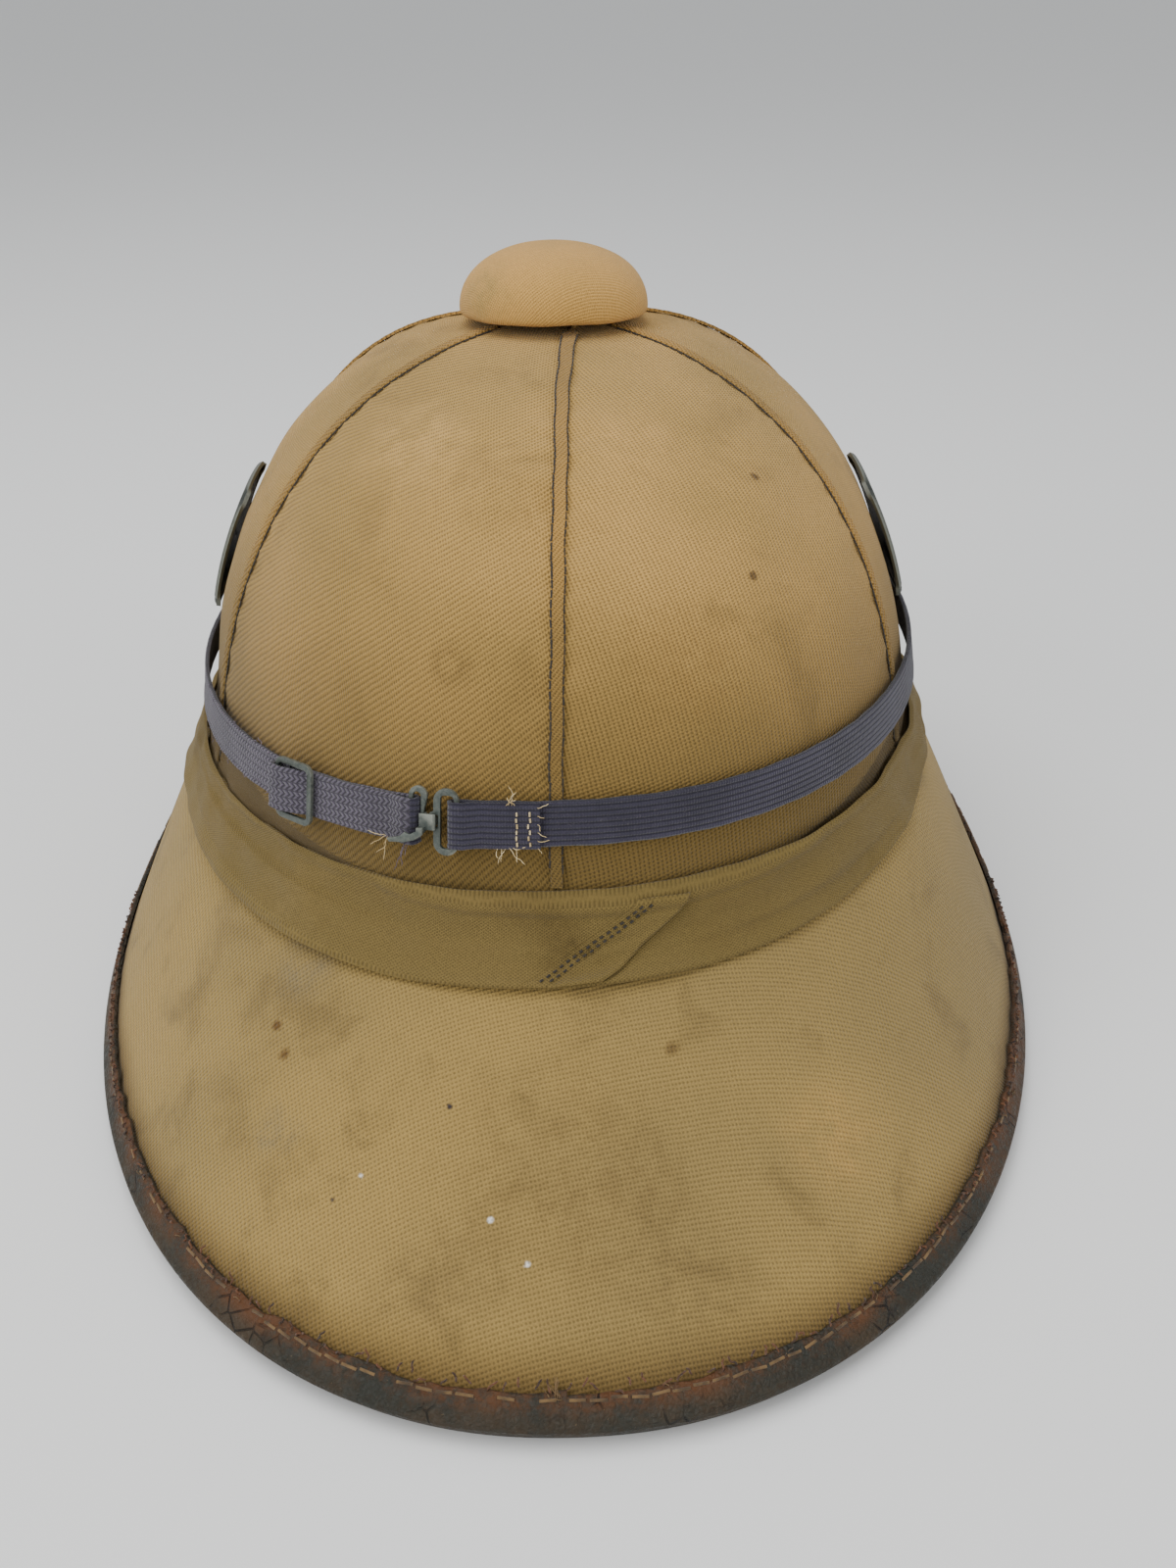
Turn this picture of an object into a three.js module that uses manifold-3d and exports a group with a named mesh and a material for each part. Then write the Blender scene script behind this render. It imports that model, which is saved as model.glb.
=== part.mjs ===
// Pith helmet: a moulded cork crown and brim under six canvas gores, with a bias-cut cloth band, a leather
// rim binding, a ventilator cap, two side plates, and an elastic strap closed by a hook and eye.
// Millimetres, +Z up. An azimuth is in degrees from the rear (-Y), positive towards +X.
import * as THREE from "three";
import { mergeVertices } from "three/addons/utils/BufferGeometryUtils.js";
import Module from "manifold-3d";

const wasm = await Module();
wasm.setup();

// Clearance between pieces that touch, and the thickness of the cloths and metals
const clearance = 0.3;
const canvasThickness = 1.0;
const corkThickness = 5.0;
const corkRimThickness = 2.4;
const foldThickness = 0.5;
const bandThickness = 1.4;
const leatherThickness = 1.2;
const webbingThickness = 0.9;
const metalThickness = 0.9;

// Crown: its plan at the foot, and the powers of its dome curve
const crown = {
  halfWidth: 90.6,
  rear: 111.2,
  front: 112,
  rearPower: 2.13,
  frontPower: 2.13,
  springHeight: 50.1,
  rise: 111.6,
  wallPower: 2.54,
  topPower: 2.28,
  leanRight: 0.2,
  leanForward: 6.9,
};

// Brim: the plan of its edge, and the heights at which its slope meets the crown wall
const rim = {
  halfWidth: 121.6,
  rear: 191.7,
  front: 156,
  rearPower: 2.16,
  frontPower: 2.33,
  frontArch: 5,
};
const brimFoot = { endHeight: 55.4, sideHeight: 72, filletUp: 10, filletOut: 11, bulge: 0.4 };

// Seams between the gores, as azimuths, and the folded strips that cover them
const seams = [
  { name: "seam_fold_rear", azimuth: 0, width: 2.6 },
  { name: "seam_fold_right_rear", azimuth: 57.5, width: 2 },
  { name: "seam_fold_right_front", azimuth: 120, width: 2 },
  { name: "seam_fold_front", azimuth: 180, width: 2.6 },
  { name: "seam_fold_left_front", azimuth: 240, width: 2 },
  { name: "seam_fold_left_rear", azimuth: 301.5, width: 2 },
];

// Ventilator: the hole in the crown, the collar through it and the domed cap over it
const vent = { holeRadius: 9.5, collarBore: 6.5, flangeRadius: 13, flangeThickness: 1 };
const cap = { radius: 23.5, height: 16.4, wall: 2.4, lip: 1.7, airGap: 1.8, tilt: -1, power: 2.15 };

// Cloth band round the foot of the crown; its right side sits higher by the tilt
const band = { topHeight: 69.2, bottomHeight: 50.2, bottomSideRise: 7.4, tilt: 2.6, seat: 0.6 };
// Lapped end of the band: azimuths of its stitched edge and its folded edge, at the top and the bottom
const bandJoin = { stitchedTop: 9.8, stitchedBottom: -2.6, foldedTop: 14, foldedBottom: 3.8, thickness: 0.7 };

const binding = { reach: 5.8, floorCut: 0.5, cornerCut: 0.9, underClearance: 0.8 };

const sidePlate = {
  azimuth: 90,
  bottomHeight: 91.5,
  topHeight: 127,
  width: 30,
  sheet: 1.1,
  rimDepth: 2.3,
  rimWidth: 1.8,
  cornerPower: 5,
};

// Elastic strap, as a loop of webbing, and its metal hook, eye and slider
const strap = { height: 84.1, sideDrop: 2.5, tilt: 2.3, width: 9.4, sideStandoff: 1.2, turnReach: 1.5 };
const clasp = { azimuth: -13.6, lift: 0.4, halfHeight: 7.2, bandWidth: 1.4, barWidth: 1, sink: 0.08 };
const hook = { left: -5.1, neckLeft: -2.4, neckRight: -1.0, barBottom: -4.9, tongueTip: 1.1 };
const eye = { gussetLeft: -0.5, left: 0.4, right: 5.9, cornerRadius: 2.7, slotRadius: 0.9 };
const slider = {
  azimuth: -31.6,
  width: 11.8,
  height: 13.8,
  barWidth: 1.3,
  leftBarWidth: 1,
  cornerRadius: 2.3,
  sink: 0.12,
};
const sewnEndAzimuth = -2;

// Numbers of steps
const stepsPerGore = 8;
const crownSteps = 8;
const brimSteps = 3;

const rad = THREE.MathUtils.degToRad;
const deg = THREE.MathUtils.radToDeg;

// Distance from the axis to a plan outline
function planRadius(azimuth, plan) {
  const across = Math.abs(Math.sin(rad(azimuth)));
  const along = Math.cos(rad(azimuth));
  const length = along > 0 ? plan.rear : plan.front;
  const power = along > 0 ? plan.rearPower : plan.frontPower;
  return ((across / plan.halfWidth) ** power + (Math.abs(along) / length) ** power) ** (-1 / power);
}

const sideShare = (azimuth) => Math.sin(rad(azimuth)) ** 2;

// Point of the crown; fall is 0 at the apex and 90 degrees at the springing
function crownPoint(azimuth, fall) {
  const share = Math.cos(fall) ** (2 / crown.wallPower);
  const radius = planRadius(azimuth, crown) * Math.sin(fall) ** (2 / crown.topPower);
  return new THREE.Vector3(
    radius * Math.sin(rad(azimuth)) + crown.leanRight * share,
    -radius * Math.cos(rad(azimuth)) + crown.leanForward * share,
    crown.springHeight + crown.rise * share,
  );
}

const fallAtHeight = (height) =>
  Math.acos(((height - crown.springHeight) / crown.rise) ** (crown.wallPower / 2));

// Height of the canvas edge at the rim, so that the binding's lowest corner comes to the ground
function rimPoint(azimuth) {
  const radius = planRadius(azimuth, rim);
  const foot = brimFoot.endHeight + (brimFoot.sideHeight - brimFoot.endHeight) * sideShare(azimuth);
  const slope = Math.atan2(foot - bindingDepth(), radius - planRadius(azimuth, crown));
  const arch = Math.cos(rad(azimuth)) < 0 ? rim.frontArch * Math.sin(rad(2 * azimuth)) ** 2 : 0;
  const edge = (leatherThickness + clearance) * Math.sin(slope) + bindingDepth() * Math.cos(slope);
  return new THREE.Vector3(
    radius * Math.sin(rad(azimuth)),
    -radius * Math.cos(rad(azimuth)),
    edge - binding.floorCut + arch,
  );
}

// Depth from the canvas face down to the binding's under face
function bindingDepth() {
  return canvasThickness + clearance + corkRimThickness + binding.underClearance + leatherThickness;
}

// The canvas face. Station 0 to 1 runs down the crown, 1 to 2 round the fillet and 2 to 3 down the brim
function canvasFace(azimuth, station) {
  const footHeight = brimFoot.endHeight + (brimFoot.sideHeight - brimFoot.endHeight) * sideShare(azimuth);
  const wallFall = fallAtHeight(footHeight + brimFoot.filletUp);
  if (station <= 1) {
    const holeShare = vent.holeRadius / planRadius(azimuth, crown);
    const topFall = Math.asin(holeShare ** (crown.topPower / 2));
    return crownPoint(azimuth, topFall + (wallFall - topFall) * station);
  }
  const corner = crownPoint(azimuth, fallAtHeight(footHeight));
  const edge = rimPoint(azimuth);
  const down = edge.clone().sub(corner).normalize();
  const start = corner.clone().addScaledVector(down, brimFoot.filletOut);
  if (station <= 2) {
    const fillet = new THREE.QuadraticBezierCurve3(crownPoint(azimuth, wallFall), corner, start);
    return fillet.getPoint(station - 1);
  }
  const sideways = new THREE.Vector3(Math.cos(rad(azimuth)), Math.sin(rad(azimuth)), 0);
  const middle = start.clone().lerp(edge, 0.5);
  middle.addScaledVector(down.clone().cross(sideways).normalize(), 2 * brimFoot.bulge);
  return new THREE.QuadraticBezierCurve3(start, middle, edge).getPoint(station - 2);
}

// Outward normal of the canvas face
function faceNormal(azimuth, station) {
  const little = 0.01;
  const before = Math.max(station - little, 0);
  const after = Math.min(station + little, 3);
  const down = canvasFace(azimuth, after).sub(canvasFace(azimuth, before));
  const round = canvasFace(azimuth + little, station).sub(canvasFace(azimuth - little, station));
  return down.cross(round).normalize();
}

// A point that stands off the canvas face
function standOff(azimuth, station, distance) {
  return canvasFace(azimuth, station).addScaledVector(faceNormal(azimuth, station), distance);
}

// Station at which the canvas face has a height
function stationAt(azimuth, height) {
  let low = 0;
  let high = 3;
  for (let i = 0; i < 24; i++) {
    const middle = (low + high) / 2;
    if (canvasFace(azimuth, middle).z > height) low = middle;
    else high = middle;
  }
  return (low + high) / 2;
}

const axisDistance = (azimuth, station) => {
  const point = canvasFace(azimuth, station);
  return Math.hypot(point.x, point.y);
};

const range = (count, from, to) =>
  Array.from({ length: count + 1 }, (_, i) => from + ((to - from) * i) / count);

const crownStations = range(crownSteps, 0, 1);
// The gores end and the brim's canvas begins a little way down the fillet
const goreEnd = 1.31;
const coverStart = 1.35;
const filletStations = [1, goreEnd, coverStart, 1.68, 2];
const brimStations = range(brimSteps, 2, 3);
const azimuthStations = seams.flatMap((seam, i) => {
  const next = i + 1 < seams.length ? seams[i + 1].azimuth : 360;
  return range(stepsPerGore, seam.azimuth, next).slice(0, -1);
});

// Joins rings of points into one closed solid. An open run gets flat ends between each ring's two halves.
// Both halves are split along the same diagonals, so that walls which lie on each other stay apart
function loft(rings, closed) {
  const size = rings[0].length;
  const index = [];
  const quad = (a, b, c, d) => index.push(a, b, c, a, c, d);
  const runs = closed ? rings.length : rings.length - 1;
  for (let i = 0; i < runs; i++) {
    const here = i * size;
    const next = ((i + 1) % rings.length) * size;
    for (let j = 0; j < size; j++) {
      const k = (j + 1) % size;
      if (j < size / 2) quad(here + j, here + k, next + k, next + j);
      else quad(here + k, next + k, next + j, here + j);
    }
  }
  const end = (rings.length - 1) * size;
  for (let j = 0; !closed && j < size / 2 - 1; j++) {
    const k = size - 1 - j;
    quad(j, k, k - 1, j + 1);
    quad(end + j, end + j + 1, end + k - 1, end + k);
  }
  const geometry = new THREE.BufferGeometry().setFromPoints(rings.flat());
  if (signedVolume(rings.flat(), index) < 0) index.reverse();
  geometry.setIndex(index);
  geometry.computeVertexNormals();
  return geometry;
}

function signedVolume(points, index) {
  let volume = 0;
  for (let i = 0; i < index.length; i += 3) {
    const [a, b, c] = [points[index[i]], points[index[i + 1]], points[index[i + 2]]];
    volume += a.dot(b.clone().cross(c)) / 6;
  }
  return volume;
}

// A wall between two standoffs from the canvas face, as one ring: its outer line, then its inner line back
function wallRing(stations, azimuthAt, outer, inner) {
  const line = (distance) => stations.map((s) => standOff(azimuthAt(s), s, distance(s)));
  return [...line(outer), ...line(inner).reverse()];
}

function material(color, roughness, metalness = 0) {
  return new THREE.MeshStandardMaterial({ color, roughness, metalness });
}

const materials = {
  cork: material(0x9a7b52, 0.95),
  canvas: material(0xa78a5c, 0.92),
  seamCloth: material(0x9c8052, 0.92),
  bandCloth: material(0x7d6c42, 0.93),
  leather: material(0x40443c, 0.62),
  webbing: material(0x6f6672, 0.9),
  metal: material(0x646c68, 0.5, 0.6),
  plate: material(0x3c3e38, 0.55, 0.4),
};

const helmet = new THREE.Group();

function addPiece(name, geometry, look, parent = helmet) {
  const mesh = new THREE.Mesh(geometry, look.clone());
  mesh.name = name;
  parent.add(mesh);
  return mesh;
}

// Cork body
const corkFace = -(canvasThickness + clearance);
function corkDepth(station) {
  const edgeShare = Math.max(station - 2, 0);
  return corkThickness + (corkRimThickness - corkThickness) * edgeShare;
}
const bodyStations = [...crownStations, ...filletStations.slice(1), ...brimStations.slice(1)];
const corkRing = (azimuth) =>
  wallRing(bodyStations, () => azimuth, () => corkFace, (s) => corkFace - corkDepth(s));
addPiece("cork_shell", loft(azimuthStations.map(corkRing), true), materials.cork);

// Six canvas gores, with a gap at each seam
const goreStations = [...crownStations, goreEnd];
seams.forEach((seam, i) => {
  const nextAzimuth = i + 1 < seams.length ? seams[i + 1].azimuth : 360;
  const rings = range(stepsPerGore, 0, 1).map((share) => {
    const side = share === 0 ? 1 : share === 1 ? -1 : 0;
    const middle = seam.azimuth + (nextAzimuth - seam.azimuth) * share;
    const azimuthAt = (s) => middle + (side * deg(clearance / 2)) / axisDistance(middle, s);
    return wallRing(goreStations, azimuthAt, () => 0, () => -canvasThickness);
  });
  addPiece("crown_gore_" + (i + 1), loft(rings, false), materials.canvas);
});

// Canvas over the brim, from under the cloth band to the binding
const coverStations = [...filletStations.slice(2), ...brimStations.slice(1)];
const coverRing = (azimuth) =>
  wallRing(coverStations, () => azimuth, () => 0, () => -canvasThickness);
addPiece("brim_cover", loft(azimuthStations.map(coverRing), true), materials.canvas);

// Cloth band: heights of its edges
const bandTop = (azimuth) => band.topHeight + band.tilt * Math.sin(rad(azimuth));
const bandBottom = (azimuth) =>
  band.bottomHeight + band.bottomSideRise * sideShare(azimuth) + band.tilt * Math.sin(rad(azimuth));
const bandFace = band.seat + bandThickness;

function bandStations(azimuth, steps) {
  return range(steps, stationAt(azimuth, bandTop(azimuth)), stationAt(azimuth, bandBottom(azimuth)));
}
const bandRing = (azimuth) =>
  wallRing(bandStations(azimuth, 4), () => azimuth, () => bandFace, () => band.seat);
addPiece("puggaree_band", loft(azimuthStations.map(bandRing), true), materials.bandCloth);

// Lapped end of the band, a slanting strip on its face
const joinRing = (share) => {
  const stitched = bandJoin.stitchedTop + (bandJoin.stitchedBottom - bandJoin.stitchedTop) * share;
  const folded = bandJoin.foldedTop + (bandJoin.foldedBottom - bandJoin.foldedTop) * share;
  const low = bandFace + clearance;
  const corners = (distance) =>
    [stitched, folded].map((azimuth) => {
      const stations = bandStations(azimuth, 1);
      return standOff(azimuth, stations[0] + (stations[1] - stations[0]) * share, distance);
    });
  return [...corners(low + bandJoin.thickness), ...corners(low).reverse()];
};
addPiece("puggaree_join", loft(range(5, 0.02, 0.98).map(joinRing), false), materials.bandCloth);

// Folded strips over the seams, from under the cap to the cloth band
seams.forEach((seam) => {
  const start = stationAt(seam.azimuth, canvasFace(seam.azimuth, 0).z - 0.6);
  const end = stationAt(seam.azimuth, bandTop(seam.azimuth) + 2 * clearance);
  const low = clearance;
  const stations = [start, ...crownStations.filter((s) => s > 1.2 * start), end];
  const rings = stations.map((s) => {
    const half = deg(seam.width / 2) / axisDistance(seam.azimuth, s);
    const pair = (distance) =>
      [-half, half].map((turn) => standOff(seam.azimuth + turn, s, distance));
    return [...pair(low + foldThickness), ...pair(low).reverse()];
  });
  addPiece(seam.name, loft(rings, false), materials.seamCloth);
});

// Leather binding: a channel folded round the rim, cut flat where it meets the ground
const bindingRing = (azimuth) => {
  const edge = canvasFace(azimuth, 3);
  const along = edge.clone().sub(canvasFace(azimuth, brimStations[brimSteps - 1])).normalize();
  const sideways = new THREE.Vector3(Math.cos(rad(azimuth)), Math.sin(rad(azimuth)), 0);
  const up = along.clone().cross(sideways).normalize();
  const outer = clearance + leatherThickness;
  const under = -bindingDepth();
  const ground = Math.cos(rad(azimuth)) < 0 ? rim.frontArch * Math.sin(rad(2 * azimuth)) ** 2 : 0;
  const reachDown = (ground - edge.z - outer * along.z) / up.z;
  const reachIn = (ground - edge.z - under * up.z) / along.z;
  const section = [
    [-binding.reach, outer],
    [outer - binding.cornerCut, outer],
    [outer, outer - binding.cornerCut],
    [outer, reachDown],
    [reachIn, under],
    [-binding.reach, under],
    [-binding.reach, under + leatherThickness],
    [clearance, under + leatherThickness],
    [clearance, clearance],
    [-binding.reach, clearance],
  ];
  return section.map(([s, n]) => edge.clone().addScaledVector(along, s).addScaledVector(up, n));
};
addPiece("edge_binding", loft(azimuthStations.map(bindingRing), true), materials.leather);

// Ventilator collar and cap, turned about the crown's apex
function turned(profile, segments) {
  const points = profile.map(([radius, height]) => new THREE.Vector2(radius, height));
  return new THREE.LatheGeometry(points, segments).rotateX(Math.PI / 2);
}
const crownTop = crown.springHeight + crown.rise;
const ventGroup = new THREE.Group();
ventGroup.position.set(crown.leanRight, crown.leanForward, crownTop);
helmet.add(ventGroup);

const capPlane = cap.airGap + cap.lip - 1.4;
const innerRadius = cap.radius - cap.wall;
const innerHeight = cap.height - cap.wall;
const collarOuter = vent.holeRadius - 2 * clearance;
const collarTop = capPlane + innerHeight * (1 - (collarOuter / innerRadius) ** 2) ** 0.5 - 1.1;
const collarProfile = [
  [vent.collarBore, -corkThickness],
  [collarOuter, -corkThickness],
  [collarOuter, clearance],
  [vent.flangeRadius, clearance],
  [vent.flangeRadius, clearance + vent.flangeThickness],
  [collarOuter, clearance + vent.flangeThickness],
  [collarOuter, collarTop],
  [vent.collarBore, collarTop],
  [vent.collarBore, -corkThickness],
];
addPiece("vent_collar", turned(collarProfile, 16), materials.metal, ventGroup);

const domeArc = (radius, height, angles) =>
  angles.map((angle) => [
    radius * Math.abs(Math.cos(rad(angle))) ** (2 / cap.power),
    height * Math.abs(Math.sin(rad(angle))) ** (2 / cap.power),
  ]);
const capProfile = [
  [0, innerHeight],
  ...domeArc(innerRadius, innerHeight, [70, 50, 30, 12]),
  [innerRadius, 0],
  [cap.radius - 2 * cap.lip, -cap.lip],
  [cap.radius - cap.lip, -cap.lip],
  [cap.radius - 0.3 * cap.lip, -0.7 * cap.lip],
  ...domeArc(cap.radius, cap.height, [0, 12, 25, 38, 52, 66, 79]),
  [0, cap.height],
];
const capMesh = addPiece("vent_cap", turned(capProfile, 28), materials.canvas, ventGroup);
capMesh.position.z = capPlane;
capMesh.rotation.x = rad(cap.tilt);

// Side plates: a thin plate with a raised rim, bent to the crown
function platePiece(name, azimuth) {
  const rings = range(8, -0.985, 0.985).map((rise) => {
    const height = (sidePlate.bottomHeight + sidePlate.topHeight) / 2
      + (rise * (sidePlate.topHeight - sidePlate.bottomHeight)) / 2;
    const station = stationAt(azimuth, height);
    const corner = (1 - Math.abs(rise) ** sidePlate.cornerPower) ** (1 / sidePlate.cornerPower);
    const half = (sidePlate.width / 2) * corner;
    const inRim = Math.abs(rise) > 0.85 ? sidePlate.rimDepth : sidePlate.sheet;
    const low = clearance;
    const line = [
      [-half, sidePlate.rimDepth],
      [-half + sidePlate.rimWidth, sidePlate.rimDepth],
      [-half + 1.4 * sidePlate.rimWidth, inRim],
      [-half / 4, inRim],
      [half / 4, inRim],
      [half - 1.4 * sidePlate.rimWidth, inRim],
      [half - sidePlate.rimWidth, sidePlate.rimDepth],
      [half, sidePlate.rimDepth],
    ];
    const place = (across, distance) =>
      standOff(azimuth + deg(across) / axisDistance(azimuth, station), station, low + distance);
    return [
      ...line.map(([across, depth]) => place(across, depth)),
      ...line.map(([across]) => place(across, 0)).reverse(),
    ];
  });
  addPiece(name, loft(rings, false), materials.plate);
}
platePiece("side_plate_right", sidePlate.azimuth);
platePiece("side_plate_left", -sidePlate.azimuth);

// Strap: standoffs of the webbing's middle where it lies on the crown, over a bar, and over the first layer
const skinLevel = 2 * clearance + foldThickness + webbingThickness / 2;
const turnLevel = webbingThickness / 2 + 2.4 * clearance + metalThickness / 2;
const barLevel = skinLevel + turnLevel;
const layLevel = skinLevel + webbingThickness + 1.3 * clearance;
const sliderLevel = layLevel + turnLevel;
const strapHeight = (azimuth) =>
  strap.height - strap.sideDrop * sideShare(azimuth) + strap.tilt * Math.sin(rad(azimuth));

// Place beside the crown at the strap, by azimuth, height above the strap's middle and standoff
function besideCrown(azimuth, rise, level) {
  return standOff(azimuth, stationAt(azimuth, strapHeight(azimuth) + rise), level);
}

// Length of one degree along the strap at a standoff, and the azimuth a distance further along
function degreeLength(azimuth, level) {
  return besideCrown(azimuth + 0.5, 0, level).distanceTo(besideCrown(azimuth - 0.5, 0, level));
}
const along = (azimuth, distance, level = barLevel) => azimuth + distance / degreeLength(azimuth, level);

// Half turn of the webbing round a bar; side is -1 round its left and 1 round its right
function halfTurn(azimuth, middle, level, side, from) {
  return [0, 45, 90, 135, 180].map((turn) => {
    const angle = rad(from === "top" ? 90 - turn : turn - 90);
    return {
      azimuth: along(azimuth, middle + side * strap.turnReach * Math.cos(angle), level),
      level: level + turnLevel * Math.sin(angle),
    };
  });
}

const eyeBar = eye.right - clasp.barWidth / 2;
const hookBar = hook.left + clasp.barWidth / 2;
const leftBar = -slider.width / 2 + slider.leftBarWidth / 2;
const rightBar = slider.width / 2 - slider.barWidth / 2;
const onClasp = (distance, level) => ({ azimuth: along(clasp.azimuth, distance), level });
const onSlider = (distance, level) => ({ azimuth: along(slider.azimuth, distance, sliderLevel), level });
const loopStart = along(clasp.azimuth, eyeBar + 3);
const loopEnd = 360 + along(clasp.azimuth, hookBar - 3);
const sideLevel = (azimuth) => skinLevel + strap.sideStandoff * sideShare(azimuth) ** 2;
const webbingRun = [
  { azimuth: sewnEndAzimuth, level: layLevel },
  onClasp(eyeBar + 9, layLevel),
  onClasp(eyeBar + 5, layLevel),
  onClasp(eyeBar + 3.2, (layLevel + barLevel + turnLevel) / 2),
  onClasp(eyeBar + 1.4, barLevel + turnLevel),
  ...halfTurn(clasp.azimuth, eyeBar, barLevel, -1, "top"),
  ...range(56, loopStart, loopEnd).map((azimuth) => ({ azimuth, level: sideLevel(azimuth) })),
  ...halfTurn(clasp.azimuth, hookBar, barLevel, 1, "bottom"),
  onClasp(hookBar - 1.4, barLevel + turnLevel),
  onClasp(hookBar - 3.2, (layLevel + barLevel + turnLevel) / 2),
  onClasp(hookBar - 5, layLevel),
  onClasp(hookBar - 13, layLevel),
  onSlider(rightBar + 2, layLevel),
  onSlider(rightBar - 1.6, layLevel),
  onSlider(1, (layLevel + sliderLevel + turnLevel) / 2),
  onSlider(leftBar + 2.2, sliderLevel + turnLevel),
  ...halfTurn(slider.azimuth, leftBar, sliderLevel, -1, "top"),
  onSlider(leftBar + 2.6, sliderLevel - turnLevel),
];

function webbingRing(i) {
  const before = webbingRun[Math.max(i - 1, 0)];
  const after = webbingRun[Math.min(i + 1, webbingRun.length - 1)];
  const here = webbingRun[i];
  const perDegree = degreeLength(here.azimuth, here.level);
  let turn = after.azimuth - before.azimuth;
  if (turn > 180) turn -= 360;
  if (turn < -180) turn += 360;
  const direction = new THREE.Vector2(turn * perDegree, after.level - before.level).normalize();
  const corner = (side, rise) =>
    besideCrown(
      here.azimuth - (side * direction.y * webbingThickness) / 2 / perDegree,
      (rise * strap.width) / 2,
      here.level + (side * direction.x * webbingThickness) / 2,
    );
  return [corner(1, 1), corner(1, -1), corner(-1, -1), corner(-1, 1)];
}
addPiece("goggle_strap", loft(webbingRun.map((_, i) => webbingRing(i)), false), materials.webbing);

// Frame that lies against the crown at the strap: x along the strap, y up the wall, z outwards
function strapFrame(azimuth, lift, sink) {
  const station = stationAt(azimuth, strapHeight(azimuth) + lift);
  const outward = faceNormal(azimuth, station);
  const wallUp = besideCrown(azimuth, lift + 1, 0).sub(besideCrown(azimuth, lift - 1, 0));
  const sideways = wallUp.cross(outward).normalize();
  const up = outward.clone().cross(sideways);
  const frame = new THREE.Group();
  frame.quaternion.setFromRotationMatrix(new THREE.Matrix4().makeBasis(sideways, up, outward));
  frame.position.copy(canvasFace(azimuth, station)).addScaledVector(outward, -sink);
  helmet.add(frame);
  return frame;
}

function polygon(points) {
  return new THREE.Shape(points.map(([x, y]) => new THREE.Vector2(x, y)));
}

function roundedRectangle(left, bottom, right, top, radius, Kind = THREE.Shape) {
  const path = new Kind();
  path.absarc(right - radius, top - radius, radius, 0, Math.PI / 2);
  path.absarc(left + radius, top - radius, radius, Math.PI / 2, Math.PI);
  path.absarc(left + radius, bottom + radius, radius, Math.PI, 1.5 * Math.PI);
  path.absarc(right - radius, bottom + radius, radius, 1.5 * Math.PI, 2 * Math.PI);
  path.closePath();
  return path;
}

// A flat piece cut from sheet, lying at a level
function sheetPiece(shape, level, thickness = metalThickness) {
  const settings = { depth: thickness, bevelEnabled: false, curveSegments: 4 };
  const geometry = new THREE.ExtrudeGeometry(shape, settings);
  return geometry.translate(0, 0, level - thickness / 2);
}

function solidOf(geometry) {
  const bare = new THREE.BufferGeometry().setAttribute("position", geometry.getAttribute("position"));
  if (geometry.index) bare.setIndex(geometry.index);
  const merged = mergeVertices(bare, 1e-4);
  return new wasm.Manifold(
    new wasm.Mesh({
      numProp: 3,
      vertProperties: new Float32Array(merged.attributes.position.array),
      triVerts: new Uint32Array(merged.index.array),
    }),
  );
}

function geometryOf(solid) {
  const mesh = solid.getMesh();
  const geometry = new THREE.BufferGeometry();
  geometry.setAttribute("position", new THREE.BufferAttribute(new Float32Array(mesh.vertProperties), 3));
  geometry.setIndex(new THREE.BufferAttribute(new Uint32Array(mesh.triVerts), 1));
  geometry.computeVertexNormals();
  return geometry;
}

const joined = (geometries) => geometryOf(geometries.map(solidOf).reduce((all, next) => all.add(next)));

// Eye: a rounded frame whose right bar the webbing holds, with a slotted gusset at its waist
const claspFrame = strapFrame(clasp.azimuth, clasp.lift, clasp.sink);
const eyeShape = roundedRectangle(eye.left, -clasp.halfHeight, eye.right, clasp.halfHeight, eye.cornerRadius);
const slotLeft = eye.left + clasp.bandWidth + 0.1;
const slotTop = clasp.halfHeight - clasp.bandWidth;
eyeShape.holes.push(
  roundedRectangle(slotLeft, -slotTop, eye.right - clasp.barWidth, slotTop, eye.slotRadius, THREE.Path),
);
const gusset = polygon([
  [eye.left + 0.5, 2.4],
  [eye.gussetLeft, 1.7],
  [eye.gussetLeft, -1.7],
  [eye.left + 0.5, -2.4],
]);
const tipWidth = 0.6;
const tipHole = polygon([
  [hook.tongueTip - tipWidth - clearance, -1.3],
  [hook.tongueTip + clearance, -1.3],
  [hook.tongueTip + clearance, 1.3],
  [hook.tongueTip - tipWidth - clearance, 1.3],
]);
const eyePlate = solidOf(sheetPiece(eyeShape, barLevel)).add(solidOf(sheetPiece(gusset, barLevel)));
const eyeSolid = eyePlate.subtract(solidOf(sheetPiece(tipHole, barLevel, 3 * metalThickness)));
addPiece("clasp_eye", geometryOf(eyeSolid), materials.metal, claspFrame);

// Hook: a bar in the webbing's fold, an arch, a neck with a tongue into the eye, and a lower arm
const archMiddle = (hook.left + hook.neckRight) / 2;
const archRadius = (hook.neckRight - hook.left) / 2;
const archHeight = clasp.halfHeight - archRadius;
const hookShape = new THREE.Shape();
hookShape.moveTo(hook.neckRight, -clasp.bandWidth);
hookShape.absarc(archMiddle, archHeight, archRadius, 0, Math.PI);
hookShape.lineTo(hook.left, hook.barBottom);
hookShape.lineTo(hook.left + clasp.barWidth, hook.barBottom);
const innerRadiusOfArch = (hook.neckLeft - hook.left - clasp.barWidth) / 2;
hookShape.absarc(hook.neckLeft - innerRadiusOfArch, archHeight, innerRadiusOfArch, Math.PI, 0, true);
hookShape.lineTo(hook.neckLeft, -clasp.bandWidth);
const tongueLow = barLevel + metalThickness / 2 + 1.2 * clearance;
const tongueHigh = tongueLow + 0.75;
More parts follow.
